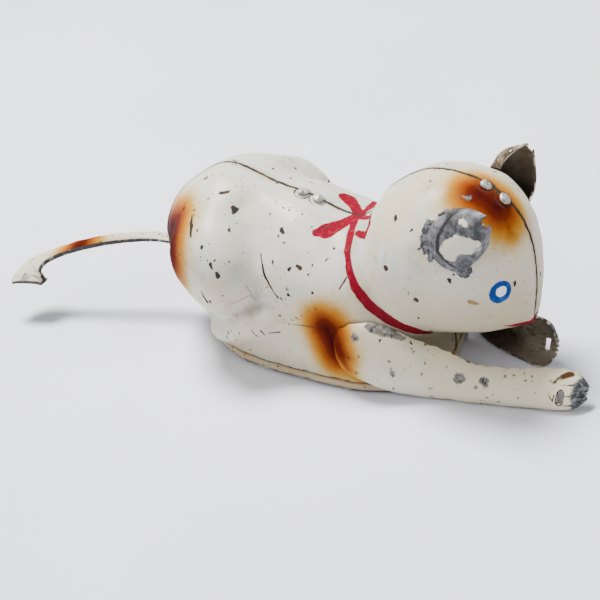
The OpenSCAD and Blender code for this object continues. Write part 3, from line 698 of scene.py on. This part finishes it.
def near_grazes(g, colour, brushed, flat):
    """Reddish grazes on the near haunch and a brown flake under the eye."""
    graze = g.paths(flat, from_side(GRAZE))
    colour = g.blend(colour, REDDISH, g.smooth(graze, 0.2, -0.05) * 0.6)
    flake = g.smooth(g.path(brushed, [(72, 15.8, 29, 0.6), (73.8, 15, 27.8, 0.4)]), 0.2, -0.1)
    return g.blend(colour, FLAKE, flake)


def body_chips(g, flat, ay, z, crowd, side):
    """Chips, scratches, the dark raw lines of the seam and the hem, and the rings round the tabs."""
    chips = chipped(g, crowd)
    chips = g.math("MAXIMUM", chips, g.smooth(g.paths(flat, from_side(MARKS[side])), 0.1, -0.08))
    wobble = g.noise(g.p, 1.8, 3, 0.6)
    seam = g.smooth(ay + wobble * 0.7, 1.25, 0.85)
    hem = g.smooth(z + wobble * 0.9, 3.5, 3.1)
    chips = g.most([chips, seam, hem])
    near_tab = g.math("ABSOLUTE", g.paths(g.p, [[(tx, -1, tz, 2.2)] for tx, tz, _ in TABS]))
    return g.math("MAXIMUM", chips, g.smooth(near_tab + wobble, 0.85, 0.5))


def bare_by_ear(g, m, low, side):
    """Bare metal round the ear's foot, more broken on the far side."""
    ragged = warp(g, 4.5, 3.2, m)
    bare = g.paths(ragged, [[(63.2, 14.4, 46.8, 1.4), (63, 16.8, 43.8, 1.8), (64, 18, 41, 1.5)],
                            [(65, 12.6, 48.4, 0.7), (67.4, 10.9, 49.4, 1.2)],
                            [(69.5, 17.4, 38, 0.6), (73, 16, 37.2, 1.1)],
                            [(67.2, 7.6, 51, 0.2), (69.4, 6.6, 51, 0.8)]])
    bare = g.smooth(bare, 0.15, -0.15)
    return bare * g.smooth(low, 0.42, 0.5) if side > 0 else bare


def body_paint(side):
    """The pressed halves: enamel, sprayed patches, ribbon, eye, lips, chips, scratches, grime and painted
    shade.
    """
    g = Graph("enamel_" + hand(side))
    x, y, z = g.split(g.p)
    ay = g.math("ABSOLUTE", y)
    m = g.join(x, ay, z)
    brushed = warp(g, 0.55, 1.6, m)
    flat = g.vec("MULTIPLY", brushed, (1, 0, 1))
    low = g.noise(g.p, 5, 3, 0.6)
    colour = enamel(g, g.smooth(x, 30, 70) * 0.1 - 0.02)
    colour = body_patches(g, body_grime_and_shade(g, colour, m, low), m)
    if side < 0:
        colour = cheek_stain(g, colour, brushed, low)
    brush = g.noise(g.vec("MULTIPLY", g.p, (1, 1, 0.35)), 1.0, 3, 0.6)
    thin = g.smooth(brush, 0.5, 0.68)
    colour = body_ribbon(g, colour, brushed, thin, z, side)
    colour = body_eye(g, colour, brushed, thin)
    if side < 0:
        colour = near_grazes(g, colour, brushed, flat)
    crowd = g.smooth(x, 40, 12) * 0.8 + 0.25
    chips = body_chips(g, flat, ay, z, crowd, side)
    bare = bare_by_ear(g, m, low, side)
    return settle(g, colour, chips, bare, deep=False)


def inner_paint():
    """Raw inside of the pressings: dull oxidised tin."""
    g = Graph("raw_inside")
    stain = g.noise(g.p, 8, 4, 0.65)
    streak = g.noise(g.vec("MULTIPLY", g.p, (0.25, 1, 1)), 1.2, 3, 0.6)
    colour = g.ramp(stain, [(0.25, (0.05, 0.036, 0.026)), (0.5, (0.115, 0.085, 0.06)),
                            (0.75, (0.2, 0.165, 0.125))])
    colour = g.blend(colour, (0.3, 0.26, 0.2), g.smooth(streak, 0.6, 0.8) * 0.5)
    g.bump(stain * 0.05 + streak * 0.02)
    return g.shade(colour=colour, rough=0.5 + streak * 0.25, metal=0.35, spec=0.4)


def edge_paint():
    """Cut edges: dark tin with worn cream left in places."""
    g = Graph("raw_edge")
    wear = g.noise(g.p, 2.2, 3, 0.65)
    colour = g.blend((0.06, 0.05, 0.04), (0.5, 0.46, 0.36), g.smooth(wear, 0.48, 0.6))
    g.bump(wear * 0.04)
    return g.shade(colour=colour, rough=0.45 + wear * 0.2, metal=0.3)


def dark_edge_and_shade_paint():
    """The tail's cut edges and the outside rows next to them: nearly black, rubbed in places; on those rows
    the black is partly painted shade.
    """
    g = Graph("dark_edge")
    wear = g.noise(g.p, 1.8, 3, 0.65)
    colour = g.blend((0.022, 0.02, 0.018), (0.2, 0.18, 0.15), g.smooth(wear, 0.56, 0.68))
    g.bump(wear * 0.04)
    return g.shade(colour=colour, rough=0.45 + wear * 0.2, metal=0.3)


def inner_arm_paint():
    """Inside of a forearm: brown near the shoulder, beige with brown streaks toward the paw."""
    g = Graph("inside_arm")
    x, _, z = g.split(g.p)
    stain = g.noise(g.p, 5, 4, 0.65)
    streak = g.noise(g.vec("MULTIPLY", g.p, (0.25, 1, 1)), 1.0, 3, 0.6)
    colour = g.blend((0.05, 0.037, 0.025), (0.36, 0.315, 0.235), g.smooth(x + (stain - 0.5) * 26, 63, 76))
    colour = g.blend(colour, (0.16, 0.095, 0.055), g.smooth(streak + stain * 0.3, 0.68, 0.8) * 0.8)
    colour = g.blend(colour, (0.1, 0.07, 0.05), g.smooth(z + stain * 3, 5, 2) * 0.6)
    g.bump(stain * 0.05 + streak * 0.02)
    return g.shade(colour=colour, rough=0.5 + streak * 0.25, metal=0.15, spec=0.4)


def pan_paint():
    """The base pan's rim: yellowed cream with a dark raw lower edge and rust freckles."""
    g = Graph("enamel_pan")
    _, _, z = g.split(g.p)
    colour = g.blend(enamel(g, 0.2), (0.36, 0.27, 0.16), 0.68)
    wobble = g.noise(g.p, 2.5, 3, 0.65)
    colour = g.blend(colour, (0.42, 0.27, 0.13), g.smooth(g.noise(g.p, 14, 2), 0.46, 0.62) * 0.5)
    dark = g.smooth(z + wobble * 0.8, 1.55, 1.15)
    chips = g.most([dark, chipped(g, g.smooth(wobble, 0.3, 0.5)), g.smooth(wobble, 0.62, 0.68)])
    return settle(g, colour, chips, dark * 0.4, gloss=0.38)


def arm_paint(side):
    """A forearm: enamel, the shoulder's patch, worn bare spots, bare toes and a rust streak."""
    g = Graph("enamel_arm_" + hand(side))
    x, y, z = g.split(g.p)
    m = g.join(x, g.math("ABSOLUTE", y), z)
    ragged = warp(g, 2.2, 1.7, m)
    tight = warp(g, 0.8, 1.0, m)
    flat = warp(g, 0.5, 1.0, g.join(x, 0.0, z))
    # painted light: the forearm made paler toward the paw
    colour = g.blend(enamel(g, g.smooth(x, 40, 85) * 0.13), ARM_PAINTED_LIGHT, g.smooth(x, 46, 84) * 0.55)
    shoulder = g.path(m, [(36.8, 22, 17, 0), (38.4, 23, 12, 0), (40, 23, 8, -2.5)])
    colour = airbrush(g, colour, shoulder / 8 + 0.1)
    low = g.noise(g.p, 4, 3, 0.6)
    # darker toward the bottom edge
    colour = grime_and_shade(g, colour, g.smooth(z + low * 3, 3.4, 1.2) * 0.4)
    chips = chipped(g, 0.7)
    if side < 0:
        bare = g.least([
            g.path(ragged, [(46, 20.2, 19.6, 1.0), (49.6, 18.4, 18.4, 1.9), (53.6, 16.8, 16, 0.9)]),
            g.dist(ragged, (43.3, 22.4, 17.4)) - 1.2,
            g.dist(ragged, (67.4, 16.7, 7.2)) - 1.5,
            g.dist(ragged, (73.4, 15.3, 6.8)) - 1.3,
            g.dist(tight, (71.7, 16.6, 5.5)) - 0.6,
            g.path(ragged, [(51.6, 22, 9.6, 0.4), (52.4, 21.6, 7.6, 0.5)]),
        ])
        toes = 92.7
        rust = g.path(tight, [(88.6, 11, 7, 0.5), (90, 9.2, 8, 0.9), (92, 6.8, 8.2, 1.1)])
        upper = [(60, 12.9, 12, -0.3), (64, 12.2, 10.9, 0.4), (70, 11.8, 8.8, 0.5), (76, 10, 8.2, -0.2)]
        scratch = g.path(tight, [(82.5, 15, 3.9, 0.12), (85, 14.8, 3.4, 0.2), (88.5, 14, 3.3, 0.1)])
    else:
        bare = g.least([
            g.dist(ragged, (50, 21, 16)) - 1.6,
            g.path(ragged, [(60, 15, 9, 0.8), (66, 13, 8, 1.2)]),
        ])
        toes = 80.6
        rust = g.path(tight, [(76, 9, 11, 0.4), (79, 7.6, 11.2, 0.8)])
        upper = [(60, 12.2, 13.2, 0.1), (70, 9, 12, 0.4), (77, 7.4, 12, -0.2)]
        scratch = g.path(tight, [(68, 12, 5, 0.12), (74, 10, 4, 0.2)])
    worn = g.smooth(bare, 0.2, -0.2)
    tips = g.smooth(x + (low - 0.5) * 5, toes, toes + 1.0)
    flecks = g.smooth(g.noise(ragged, 1.3, 3, 0.6), 0.5, 0.6)
    worn = g.math("MAXIMUM", worn * g.math("MAXIMUM", flecks, 0.82), tips)
    colour = g.blend(colour, RUST, g.smooth(rust, 0.2, -0.2))
    chips = g.math("MAXIMUM", chips, g.smooth(scratch, 0.06, -0.06) * 0.8)
    chips = g.math("MAXIMUM", chips, g.smooth(g.path(ragged, upper), 0.2, -0.2))
    slot_x = PAW_SLOT[side] + SLOT_W / 2
    lip = g.math("ABSOLUTE", g.path(flat, [(slot_x, 0, 3.4, 0.8), (slot_x, 0, 4.8, 0.8)])) - 0.12
    vee = [(slot_x - 2.5, 0, 4.7, 0.1), (slot_x - 1.5, 0, 3.4, 0.16), (slot_x - 1.3, 0, 4.7, 0.1)]
    nick = g.path(flat, vee, lip)
    first = 90.6 if side < 0 else 78.2
    for toe in ((1.0, 2.6, 4.6, 6.4) if side < 0 else (1.6, 4, 7.2, 9.9)):
        nick = g.path(flat, [(first, 0, toe, 0.0), (first + 5.2, 0, toe - 0.2, 0.26)], nick)
    chips = g.math("MAXIMUM", chips, g.smooth(nick, 0.08, -0.06))
    return settle(g, colour, chips, worn, gloss=0.33)


def ear_paint(side):
    """An ear: paint mostly gone, grey or brown metal with scraps of cream."""
    g = Graph("worn_ear_" + hand(side))
    ragged = warp(g, 3.0, 2.2)
    cloud = g.noise(g.p, 2.6, 4, 0.7)
    if side < 0:
        metal = g.ramp(cloud, [(0.36, (0.03, 0.03, 0.032)), (0.5, (0.09, 0.09, 0.093)), (0.66, RUBBED_TIN)])
        scrap = g.path(ragged, [(69.5, -18.6, 42.6, 2.2), (72, -18.3, 45, 2.3), (76, -17.6, 45, 1.4)])
        small = g.paths(ragged, [[(73, -16.5, 49.6, 1.0)], [(77.4, -16, 48.4, 0.6)]])
        scrap = g.math("MINIMUM", scrap, small)
        paint = g.smooth(scrap, 0.25, -0.25)
        crack = g.path(warp(g, 1.0, 1.4), [
            (70.4, -14.6, 51, 0.2), (68.3, -16.2, 49.1, 0.35), (66.6, -17.8, 45.6, 0.5),
            (66.8, -18.6, 42.6, 0.45), (69.2, -18.8, 40.2, 0.3), (71.4, -18.3, 38.6, 0.2)])
        dark = g.smooth(crack, 0.25, -0.1)
    else:
        metal = g.ramp(cloud, [(0.36, (0.03, 0.02, 0.014)), (0.5, (0.13, 0.09, 0.055)),
                               (0.66, (0.3, 0.23, 0.15))])
        paint = g.smooth(g.noise(ragged, 3.4, 3, 0.6) - g.smooth(g.split(g.p)[2], 46, 52) * 0.12, 0.5, 0.54)
        dark = g.smooth(g.noise(g.p, 1.1, 3), 0.62, 0.7)
    colour = g.blend(metal, enamel(g, 0.12), paint)
    colour = g.blend(colour, (0.013, 0.011, 0.01), dark)
    g.bump(paint * 0.05 + cloud * 0.03)
    return g.shade(colour=colour, rough=0.45 + cloud * 0.25, metal=(1.0 - paint) * 0.25, spec=0.3)


def tail_paint():
    """The tail: cream with one sprayed ring near its end, rubbed bare near the spoon's tip; its dark edges,
    partly painted shade, come from the edge material.
    """
    g = Graph("enamel_tail")
    x, y, z = g.split(g.p)
    colour = enamel(g, 0.1)
    colour = airbrush(g, colour, g.math("ABSOLUTE", (x + 54) / 10) + 0.1)
    low = g.noise(g.p, 3, 3, 0.6)
    chips = g.most([chipped(g, 0.8), g.smooth(g.noise(warp(g, 1.5, 1.2), 3.4, 3, 0.6), 0.64, 0.68)])
    worn = g.smooth(g.dist(warp(g, 2.5, 2), (-69, -18.5, 12.6)) + low * 3, 3.4, 2.6)
    return settle(g, colour, chips, worn * 0.8, gloss=0.34)


def metal(name, low, high, rough, grain=(0.2, 1, 1), grime=0.25):
    """Working metal: streaky grain, cloudy tarnish and dark oil in the hollows."""
    g = Graph(name)
    cloud = g.noise(g.p, 3.2, 4, 0.65)
    streak = g.noise(g.vec("MULTIPLY", g.p, grain), 0.35, 3, 0.6)
    colour = g.blend(low, high, g.smooth(cloud + (streak - 0.5) * 0.35, 0.32, 0.68))
    spots = g.smooth(g.noise(g.p, 1.4, 3, 0.7), 0.6, 0.7)
    colour = g.blend(colour, (0.06, 0.045, 0.03), spots * grime)
    g.bump(streak * 0.012 + cloud * 0.02 - spots * 0.01)
    return g.shade(colour=colour, rough=rough + (cloud - 0.5) * 0.2 + spots * 0.15, metal=0.92, spec=0.5)


def tab_paint():
    """Bent tabs: bright rubbed tops, with scraps of enamel and dark dirt round the foot."""
    g = Graph("rubbed_tab")
    cloud = g.noise(g.p, 1.2, 4, 0.65)
    colour = g.blend((0.3, 0.29, 0.265), (0.52, 0.5, 0.44), g.smooth(cloud, 0.4, 0.6))
    dirt = g.smooth(g.noise(g.p, 0.9, 3), 0.6, 0.68)
    colour = g.blend(colour, DARK, dirt * 0.7)
    g.bump(cloud * 0.04)
    return g.shade(colour=colour, rough=0.34 + cloud * 0.2, metal=0.45)


# ---- pieces
def shell(side, mats):
    n, m = 236, 88
    t, v = np.meshgrid(np.linspace(0, 1, n), np.linspace(0, 1, m) ** 1.12, indexing="ij")
    g = skin(t, v)
    normal = grid_normals(g)
    normal[:2], normal[-2:] = normal[2], normal[-3]
    outward = -normal
    fade = bump(t, 0, 0.02) * (1 - bump(t, 0.985, 1))
    g = g + outward * (pressed_form(g, side) * fade)[..., None]
    g[..., 1] = np.minimum(g[..., 1], -SEAM_GAP)
    g[..., 2] = np.maximum(g[..., 2], HEM_Z)
    inner = g - SHEET * outward
    inner[..., 1] = np.minimum(inner[..., 1], -SEAM_GAP)
    inner[..., 2] = np.maximum(inner[..., 2], HEM_Z)
    inner[0], inner[-1] = g[0, 0] + [0.5, 0, 0.3], g[-1, 0] - [0.8, 0, 0]
    if side > 0:
        g, inner = g * [1, -1, 1], inner * [1, -1, 1]
    obj = sheet_object("half_" + hand(side), g, inner, mats, bulge=0.0)
    cutters = [box_cutter((-40, -8, TAIL_Z - 0.2), (-18, 8, TAIL_Z + 2))]
    if side > 0:
        cutters.append(rod_cutter(3.2, 12, 30, *GREAT))
    cut(obj, cutters)
    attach(obj, "chassis")
    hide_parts("shell_" + hand(side))
    return obj


def arm(side, mats):
    table = ARM_RIGHT if side < 0 else ARM_LEFT
    n, m = 170, 48
    t, v = np.meshgrid(np.linspace(0, 1, n), np.linspace(0, 1, m), indexing="ij")
    s = along(table, t)
    a = np.pi * v - np.pi / 2
    w = (np.sin(a) + 1) / 2
    y = mix(s[..., 1], s[..., 3], w) + side * np.maximum(s[..., 5], 0.2) * np.cos(a)
    g = np.stack([s[..., 0], y, np.maximum(mix(s[..., 2], s[..., 4], w), 0)], -1)
    normal = grid_normals(g)
    if (normal[n // 2, m // 2, 1] > 0) != (side > 0):
        normal = -normal
    toe = bump(t, 0.86, 0.92)
    press = np.zeros_like(t)
    for k, at in enumerate((0.22, 0.39, 0.56, 0.73)):
        press -= 0.55 * toe * np.exp(-(((v - at - 0.02 * np.sin(9 * t + k)) / 0.045) ** 2))
    press += 0.2 * bump(t, 0.84, 0.9) * np.sin(np.pi * v)
    press += 0.12 * ripple(g[..., 0] * 1.5, g[..., 2] * 2, 3 + side)
    g = g + normal * press[..., None]
    # toes of uneven length, and a nibbled free edge
    g[..., 0] += 0.3 * bump(t, 0.94, 1) * (np.abs(np.sin(np.pi * (v - 0.05) / 0.17)) - 0.6)
    nibble = 0.3 if side < 0 else 0.5
    edge = np.clip(1 - np.minimum(v, 1 - v) / 0.06, 0, 1)
    g = g - normal * (nibble * 0.25 * edge * np.sin(g[..., 0] * 2.3 + side))[..., None]
    g[..., 2] += nibble * edge * (v > 0.5) * np.sin(g[..., 0] * 1.7) * 0.5
    g[..., 2] = np.maximum(g[..., 2], 0.01)
    inner = g - SHEET * normal
    inner[..., 2] = np.maximum(inner[..., 2], 0.01)
    obj = sheet_object("forearm_" + hand(side), g, inner, mats)
    slot_x, near, far = PAW_SLOT[side], min(0, side * 20), max(0, side * 20)
    cut(obj, [box_cutter((slot_x, near, 2.8), (slot_x + SLOT_W, far, 5.4))], solver="EXACT")
    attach(obj, "chassis")
    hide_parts("arm_" + hand(side))
    return obj


def ear(side, rise, mats):
    n, m = 30, 96
    k, a = np.meshgrid(np.linspace(0, 1, n), np.radians(np.linspace(10, 260, m)), indexing="ij")
    t0, v0 = EAR_SEAT[0] + EAR_SPREAD[0] * np.cos(a), EAR_SEAT[1] + EAR_SPREAD[1] * np.sin(a)
    p = skin(t0, v0)
    lift = unit(np.cross(skin(t0 + 0.004, v0) - p, skin(t0, v0 + 0.01) - p))
    foot = p - 0.5 * lift
    root = skin(np.array(EAR_SEAT[0]), np.array(EAR_SEAT[1]))
    out = foot - root
    top = root + np.array(rise, float) + 0.2 * out
    g = mix(foot, top, k[..., None]) + 1.5 * np.sin(np.pi * k)[..., None] * unit(out)
    dent = 0.25 * np.sin(3 * a + 5 * k) * np.sin(np.pi * k)
    g = g + unit(out) * dent[..., None]
    normal = grid_normals(g)
    if (normal * unit(out)).sum(-1).mean() < 0:
        normal = -normal
    inner = g - SHEET * normal
    if side > 0:
        g, inner = g * [1, -1, 1], inner * [1, -1, 1]
    obj = sheet_object("ear_cap_" + hand(side), g, inner, mats)
    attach(obj, "chassis")
    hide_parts("ear_" + hand(side))
    return obj


def tail(mats):
    n, m = 190, 30
    t, v = np.meshgrid(np.linspace(0, 1, n), np.linspace(0, 1, m), indexing="ij")
    s = along(TAIL, t)
    run = unit((along(TAIL, np.minimum(t + 0.01, 1)) - along(TAIL, np.maximum(t - 0.01, 0)))[..., :3])
    cross = unit(np.stack([run[..., 1], -run[..., 0], np.zeros_like(t)], -1))
    lift = np.cross(run, cross)
    a = np.pi * v - np.pi / 2
    reach, crown = (s[..., 3] / 2 * np.sin(a))[..., None], (s[..., 4] * np.cos(a))[..., None]
    g = s[..., :3] + reach * cross - crown * lift
    crumple = bump(t, 0.6, 0.8) * (0.1 * np.sin(9 * v + 17 * t) + 0.05 * np.sin(19 * v - 31 * t))
    normal = grid_normals(g)
    if normal[n // 3, m // 2, 2] < 0:
        normal = -normal
    g = g + normal * (crumple + 0.06 * np.sin(1.1 * s[..., 0]))[..., None]
    # the outer rows at both sides and at the tip take the dark edge material: partly raw edge, partly painted
    # shade of the underside
    obj = sheet_object("tail_strip", g, g - SHEET * normal, mats, worn=(5, 3, 9))
    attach(obj, "tail_arm")
    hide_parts("tail")
    return obj


def tabs(mat):
    """Rounded tongues bent over the seam, each a low dome with a rolled edge."""
    verts, faces = [], []
    rings, around = 7, 36
    for x, z, slope in TABS:
        turn = Matrix.Rotation(math.radians(slope), 4, "Y")
        first = len(verts)
        for k in range(rings + 1):
            f = k / rings
            r = 1.5 * math.cos(f * math.pi / 2) ** 0.55
            h = 0.2 + 0.75 * math.sin(f * math.pi / 2)
            for j in range(around):
                b = 2 * math.pi * j / around
                lx, ly = math.cos(b), math.sin(b)
                squash = 1.0 + 0.06 * math.sin(3 * b + x)
                p = Vector((r * lx * squash, r * ly * 0.95 * squash - 1.0, h + 0.1 * math.sin(2 * b + z) * f))
                verts.append(tuple(turn @ p + Vector((x, 0, z))))
        for k in range(rings):
            for j in range(around):
                a, b = first + k * around + j, first + k * around + (j + 1) % around
                faces.append((a, b, b + around, a + around))
        faces.append(tuple(first + j for j in range(around - 1, -1, -1)))
        faces.append(tuple(first + rings * around + j for j in range(around)))
    obj = link_mesh("bent_tabs", verts, faces, [mat], sharp=60)
    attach(obj, "chassis")
    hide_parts("seam_tabs")
    return obj


def hem_line(count):
    t = np.linspace(0, 11 / 19, count)
    return skin(t, np.ones_like(t))[:, :2]


def pan_outline(count, margin):
    """Closed outline of the pan, standing margin outside the hem."""
    p = hem_line(count)
    d = np.gradient(p, axis=0)
    n = unit(np.stack([d[:, 1], -d[:, 0]], -1))
    n[0], n[-1] = [-1, 0], [1, 0]
    q = p + margin * n
    q[:, 1] = np.minimum(q[:, 1], 0)
    q[0, 1] = q[-1, 1] = 0
    return np.concatenate([q, (q * [1, -1])[-2:0:-1]])


def pan(mats):
    """The pan's rolled rim, lofted round the outline, and its flat web with the slots."""
    base = pan_outline(90, 0.6)
    inward = unit(pan_outline(90, -1.4) - base)
    total = len(base)
    s = np.cumsum(np.linalg.norm(np.roll(base, -1, 0) - base, axis=1))
    wave = 0.16 * np.sin(s * 0.55) + 0.1 * np.sin(s * 1.31 + 1)
    profile = [(1.8, 2.5), (0.5, 2.5), (0.16, 2.42), (0.02, 2.2), (0, 1.5), (0.02, 0.95), (0.12, 0.76),
               (0.28, 0.74), (0.38, 0.9), (0.4, 1.9), (0.55, 2.1), (1.8, 2.1)]
    g = []
    for inset, z in profile:
        drop = (2.5 - z) / 1.8
        ring = base + inward * (inset - 0.5 * np.abs(wave) * drop * 0.4)[:, None]
        g.append(np.concatenate([ring, np.full((total, 1), z) + (wave * drop * 0.8)[:, None]], 1))
    verts = np.concatenate(g)
    rows = len(profile)
    faces = []
    for k in range(rows):
        for j in range(total):
            a, b = k * total + j, k * total + (j + 1) % total
            c, d = ((k + 1) % rows) * total + (j + 1) % total, ((k + 1) % rows) * total + j
            faces.append((a, b, c, d))
    rim = link_mesh("pan_rim", verts, faces, [mats[0]], sharp=50)
    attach(rim, "chassis")
    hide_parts("base_pan")
    edge = base + inward * 1.3
    lower = [(x, y, 2.12) for x, y in edge]
    upper = [(x, y, 2.48) for x, y in edge]
    k = len(edge)
    faces = [tuple(range(k - 1, -1, -1)), tuple(range(k, 2 * k))]
    faces += [(j, (j + 1) % k, k + (j + 1) % k, k + j) for j in range(k)]
    web = link_mesh("pan_web", lower + upper, faces, [mats[1]], sharp=30)
    holes = []
    for side in (-1, 1):
        mid = side * 10.6
        holes.append(box_cutter((-5, mid - 2.2, 0), (9, mid + 2.2, 5)))
        for x in (12, 32):
            holes.append(box_cutter((x - 0.05, side * 7.4 - 0.45, 0), (x + 4.05, side * 7.4 + 0.45, 5)))
    cut(web, holes, sharp=30)
    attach(web, "chassis")
    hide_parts("base_pan")


def dress_cad(finishes):
    """The CAD's own machine parts stay, with worn edges and metal finishes."""
    for mat, width, names in finishes:
        for name in names:
            o = NODES[name]
            o.data.materials.clear()
            o.data.materials.append(mat)
            weld = o.modifiers.new("weld", "WELD")
            weld.merge_threshold = 1e-6
            if width:
                edge = o.modifiers.new("edge", "BEVEL")
                edge.width, edge.segments, edge.limit_method = width * MM, 2, "ANGLE"
                edge.angle_limit = math.radians(35)


# ---- stage
def floor():
    g = Graph("pale_floor")
    cloud = g.noise(g.p, 90, 2, 0.5)
    fine = g.noise(g.p, 0.8, 2, 0.6)
    colour = g.blend((0.70, 0.705, 0.78), (0.73, 0.735, 0.80), g.smooth(cloud, 0.35, 0.65))
    g.bump(fine * 0.01)
    mat = g.shade(colour=colour, rough=0.55 + fine * 0.1, spec=0.3)
    bm = bmesh.new()
    bmesh.ops.create_grid(bm, x_segments=8, y_segments=8, size=4)
    obj = finish_mesh("floor", bm, [mat])


def light(name, place, aim, size, power):
    data = bpy.data.lights.new(name, "AREA")
    data.shape, data.size, data.energy = "DISK", size, power
    obj = bpy.data.objects.new(name, data)
    bpy.context.scene.collection.objects.link(obj)
    obj.location = place
    obj.rotation_euler = (Vector(place) - Vector(aim)).to_track_quat("Z", "Y").to_euler()


def studio():
    world = bpy.data.worlds.new("room")
    world.use_nodes = True
    back = world.node_tree.nodes["Background"]
    back.inputs[0].default_value, back.inputs[1].default_value = (0.93, 0.96, 1.0, 1), 0.3
    bpy.context.scene.world = world
    light("overhead", (-0.3, 0.15, 1.0), (0.02, 0, 0.02), 0.4, 34)
    light("left_box", (-0.7, -0.75, 0.6), (0, 0, 0.02), 0.5, 8)
    light("right_box", (0.95, -0.1, 0.6), (0.04, 0, 0.02), 0.6, 4.5)


def camera():
    data = bpy.data.cameras.new("camera")
    data.lens, data.sensor_width = 85.4, 36
    data.clip_start, data.clip_end = 0.01, 20
    obj = bpy.data.objects.new("camera", data)
    bpy.context.scene.collection.objects.link(obj)
    eye, aim = Vector((0.2109, -0.2636, 0.194)), Vector((0.0018, 0.0138, 0))
    back = (eye - aim).normalized()
    level = Vector((0, 0, 1)).cross(back).normalized()
    up = back.cross(level)
    roll = math.radians(-9.81)
    right = level * math.cos(roll) + up * math.sin(roll)
    turn = Matrix((right, back.cross(right), back)).transposed().to_4x4()
    obj.matrix_world = Matrix.Translation(eye) @ turn
    bpy.context.scene.camera = obj


# ---- build
camera()
studio()
floor()
inside, inside_arm, raw = inner_paint(), inner_arm_paint(), edge_paint()
for side in (-1, 1):
    shell(side, [body_paint(side), inside, raw])
    arm(side, [arm_paint(side), inside_arm, raw])
ear(-1, (9.2, -0.6, 7), [ear_paint(-1), inside, raw])
ear(1, (5.8, 0.4, 10.6), [ear_paint(1), inside, raw])
tail([tail_paint(), inside, dark_edge_and_shade_paint()])
tabs(tab_paint())
pan([pan_paint(), inside])
steel = metal("dull_steel", (0.3, 0.3, 0.3), (0.55, 0.55, 0.54), 0.36)
turned = metal("turned_steel", (0.4, 0.4, 0.4), (0.66, 0.66, 0.65), 0.28, grain=(1, 0.12, 1))
spring = metal("blued_spring", (0.035, 0.045, 0.075), (0.13, 0.16, 0.23), 0.3, grain=(1, 0.1, 1))
brass = metal("dull_brass", (0.33, 0.22, 0.075), (0.62, 0.46, 0.19), 0.32, grime=0.4)
dark_tin = metal("oiled_tin", (0.1, 0.1, 0.1), (0.26, 0.26, 0.255), 0.42, grime=0.5)
dress_cad([
    (steel, 0.08, ["plate_right", "plate_left", "tail_bracket", "tail_lever"]),
    (turned, 0.06, ["pillars", "winding_arbor", "second_arbor", "drive_axle", "tail_pivot", "tail_rivet",
                    "click_rivet"]),
    (turned, 0.0, ["second_pinion", "drive_pinion"]),
    (spring, 0.0, ["mainspring"]),
    (spring, 0.06, ["ratchet_wheel", "click"]),
    (brass, 0.0, ["great_wheel", "second_wheel"]),
    (brass, 0.1, ["wobble_disc"]),
    (brass, 0.3, ["key"]),
    (dark_tin, 0.2, ["wheel_right", "wheel_left"]),
])
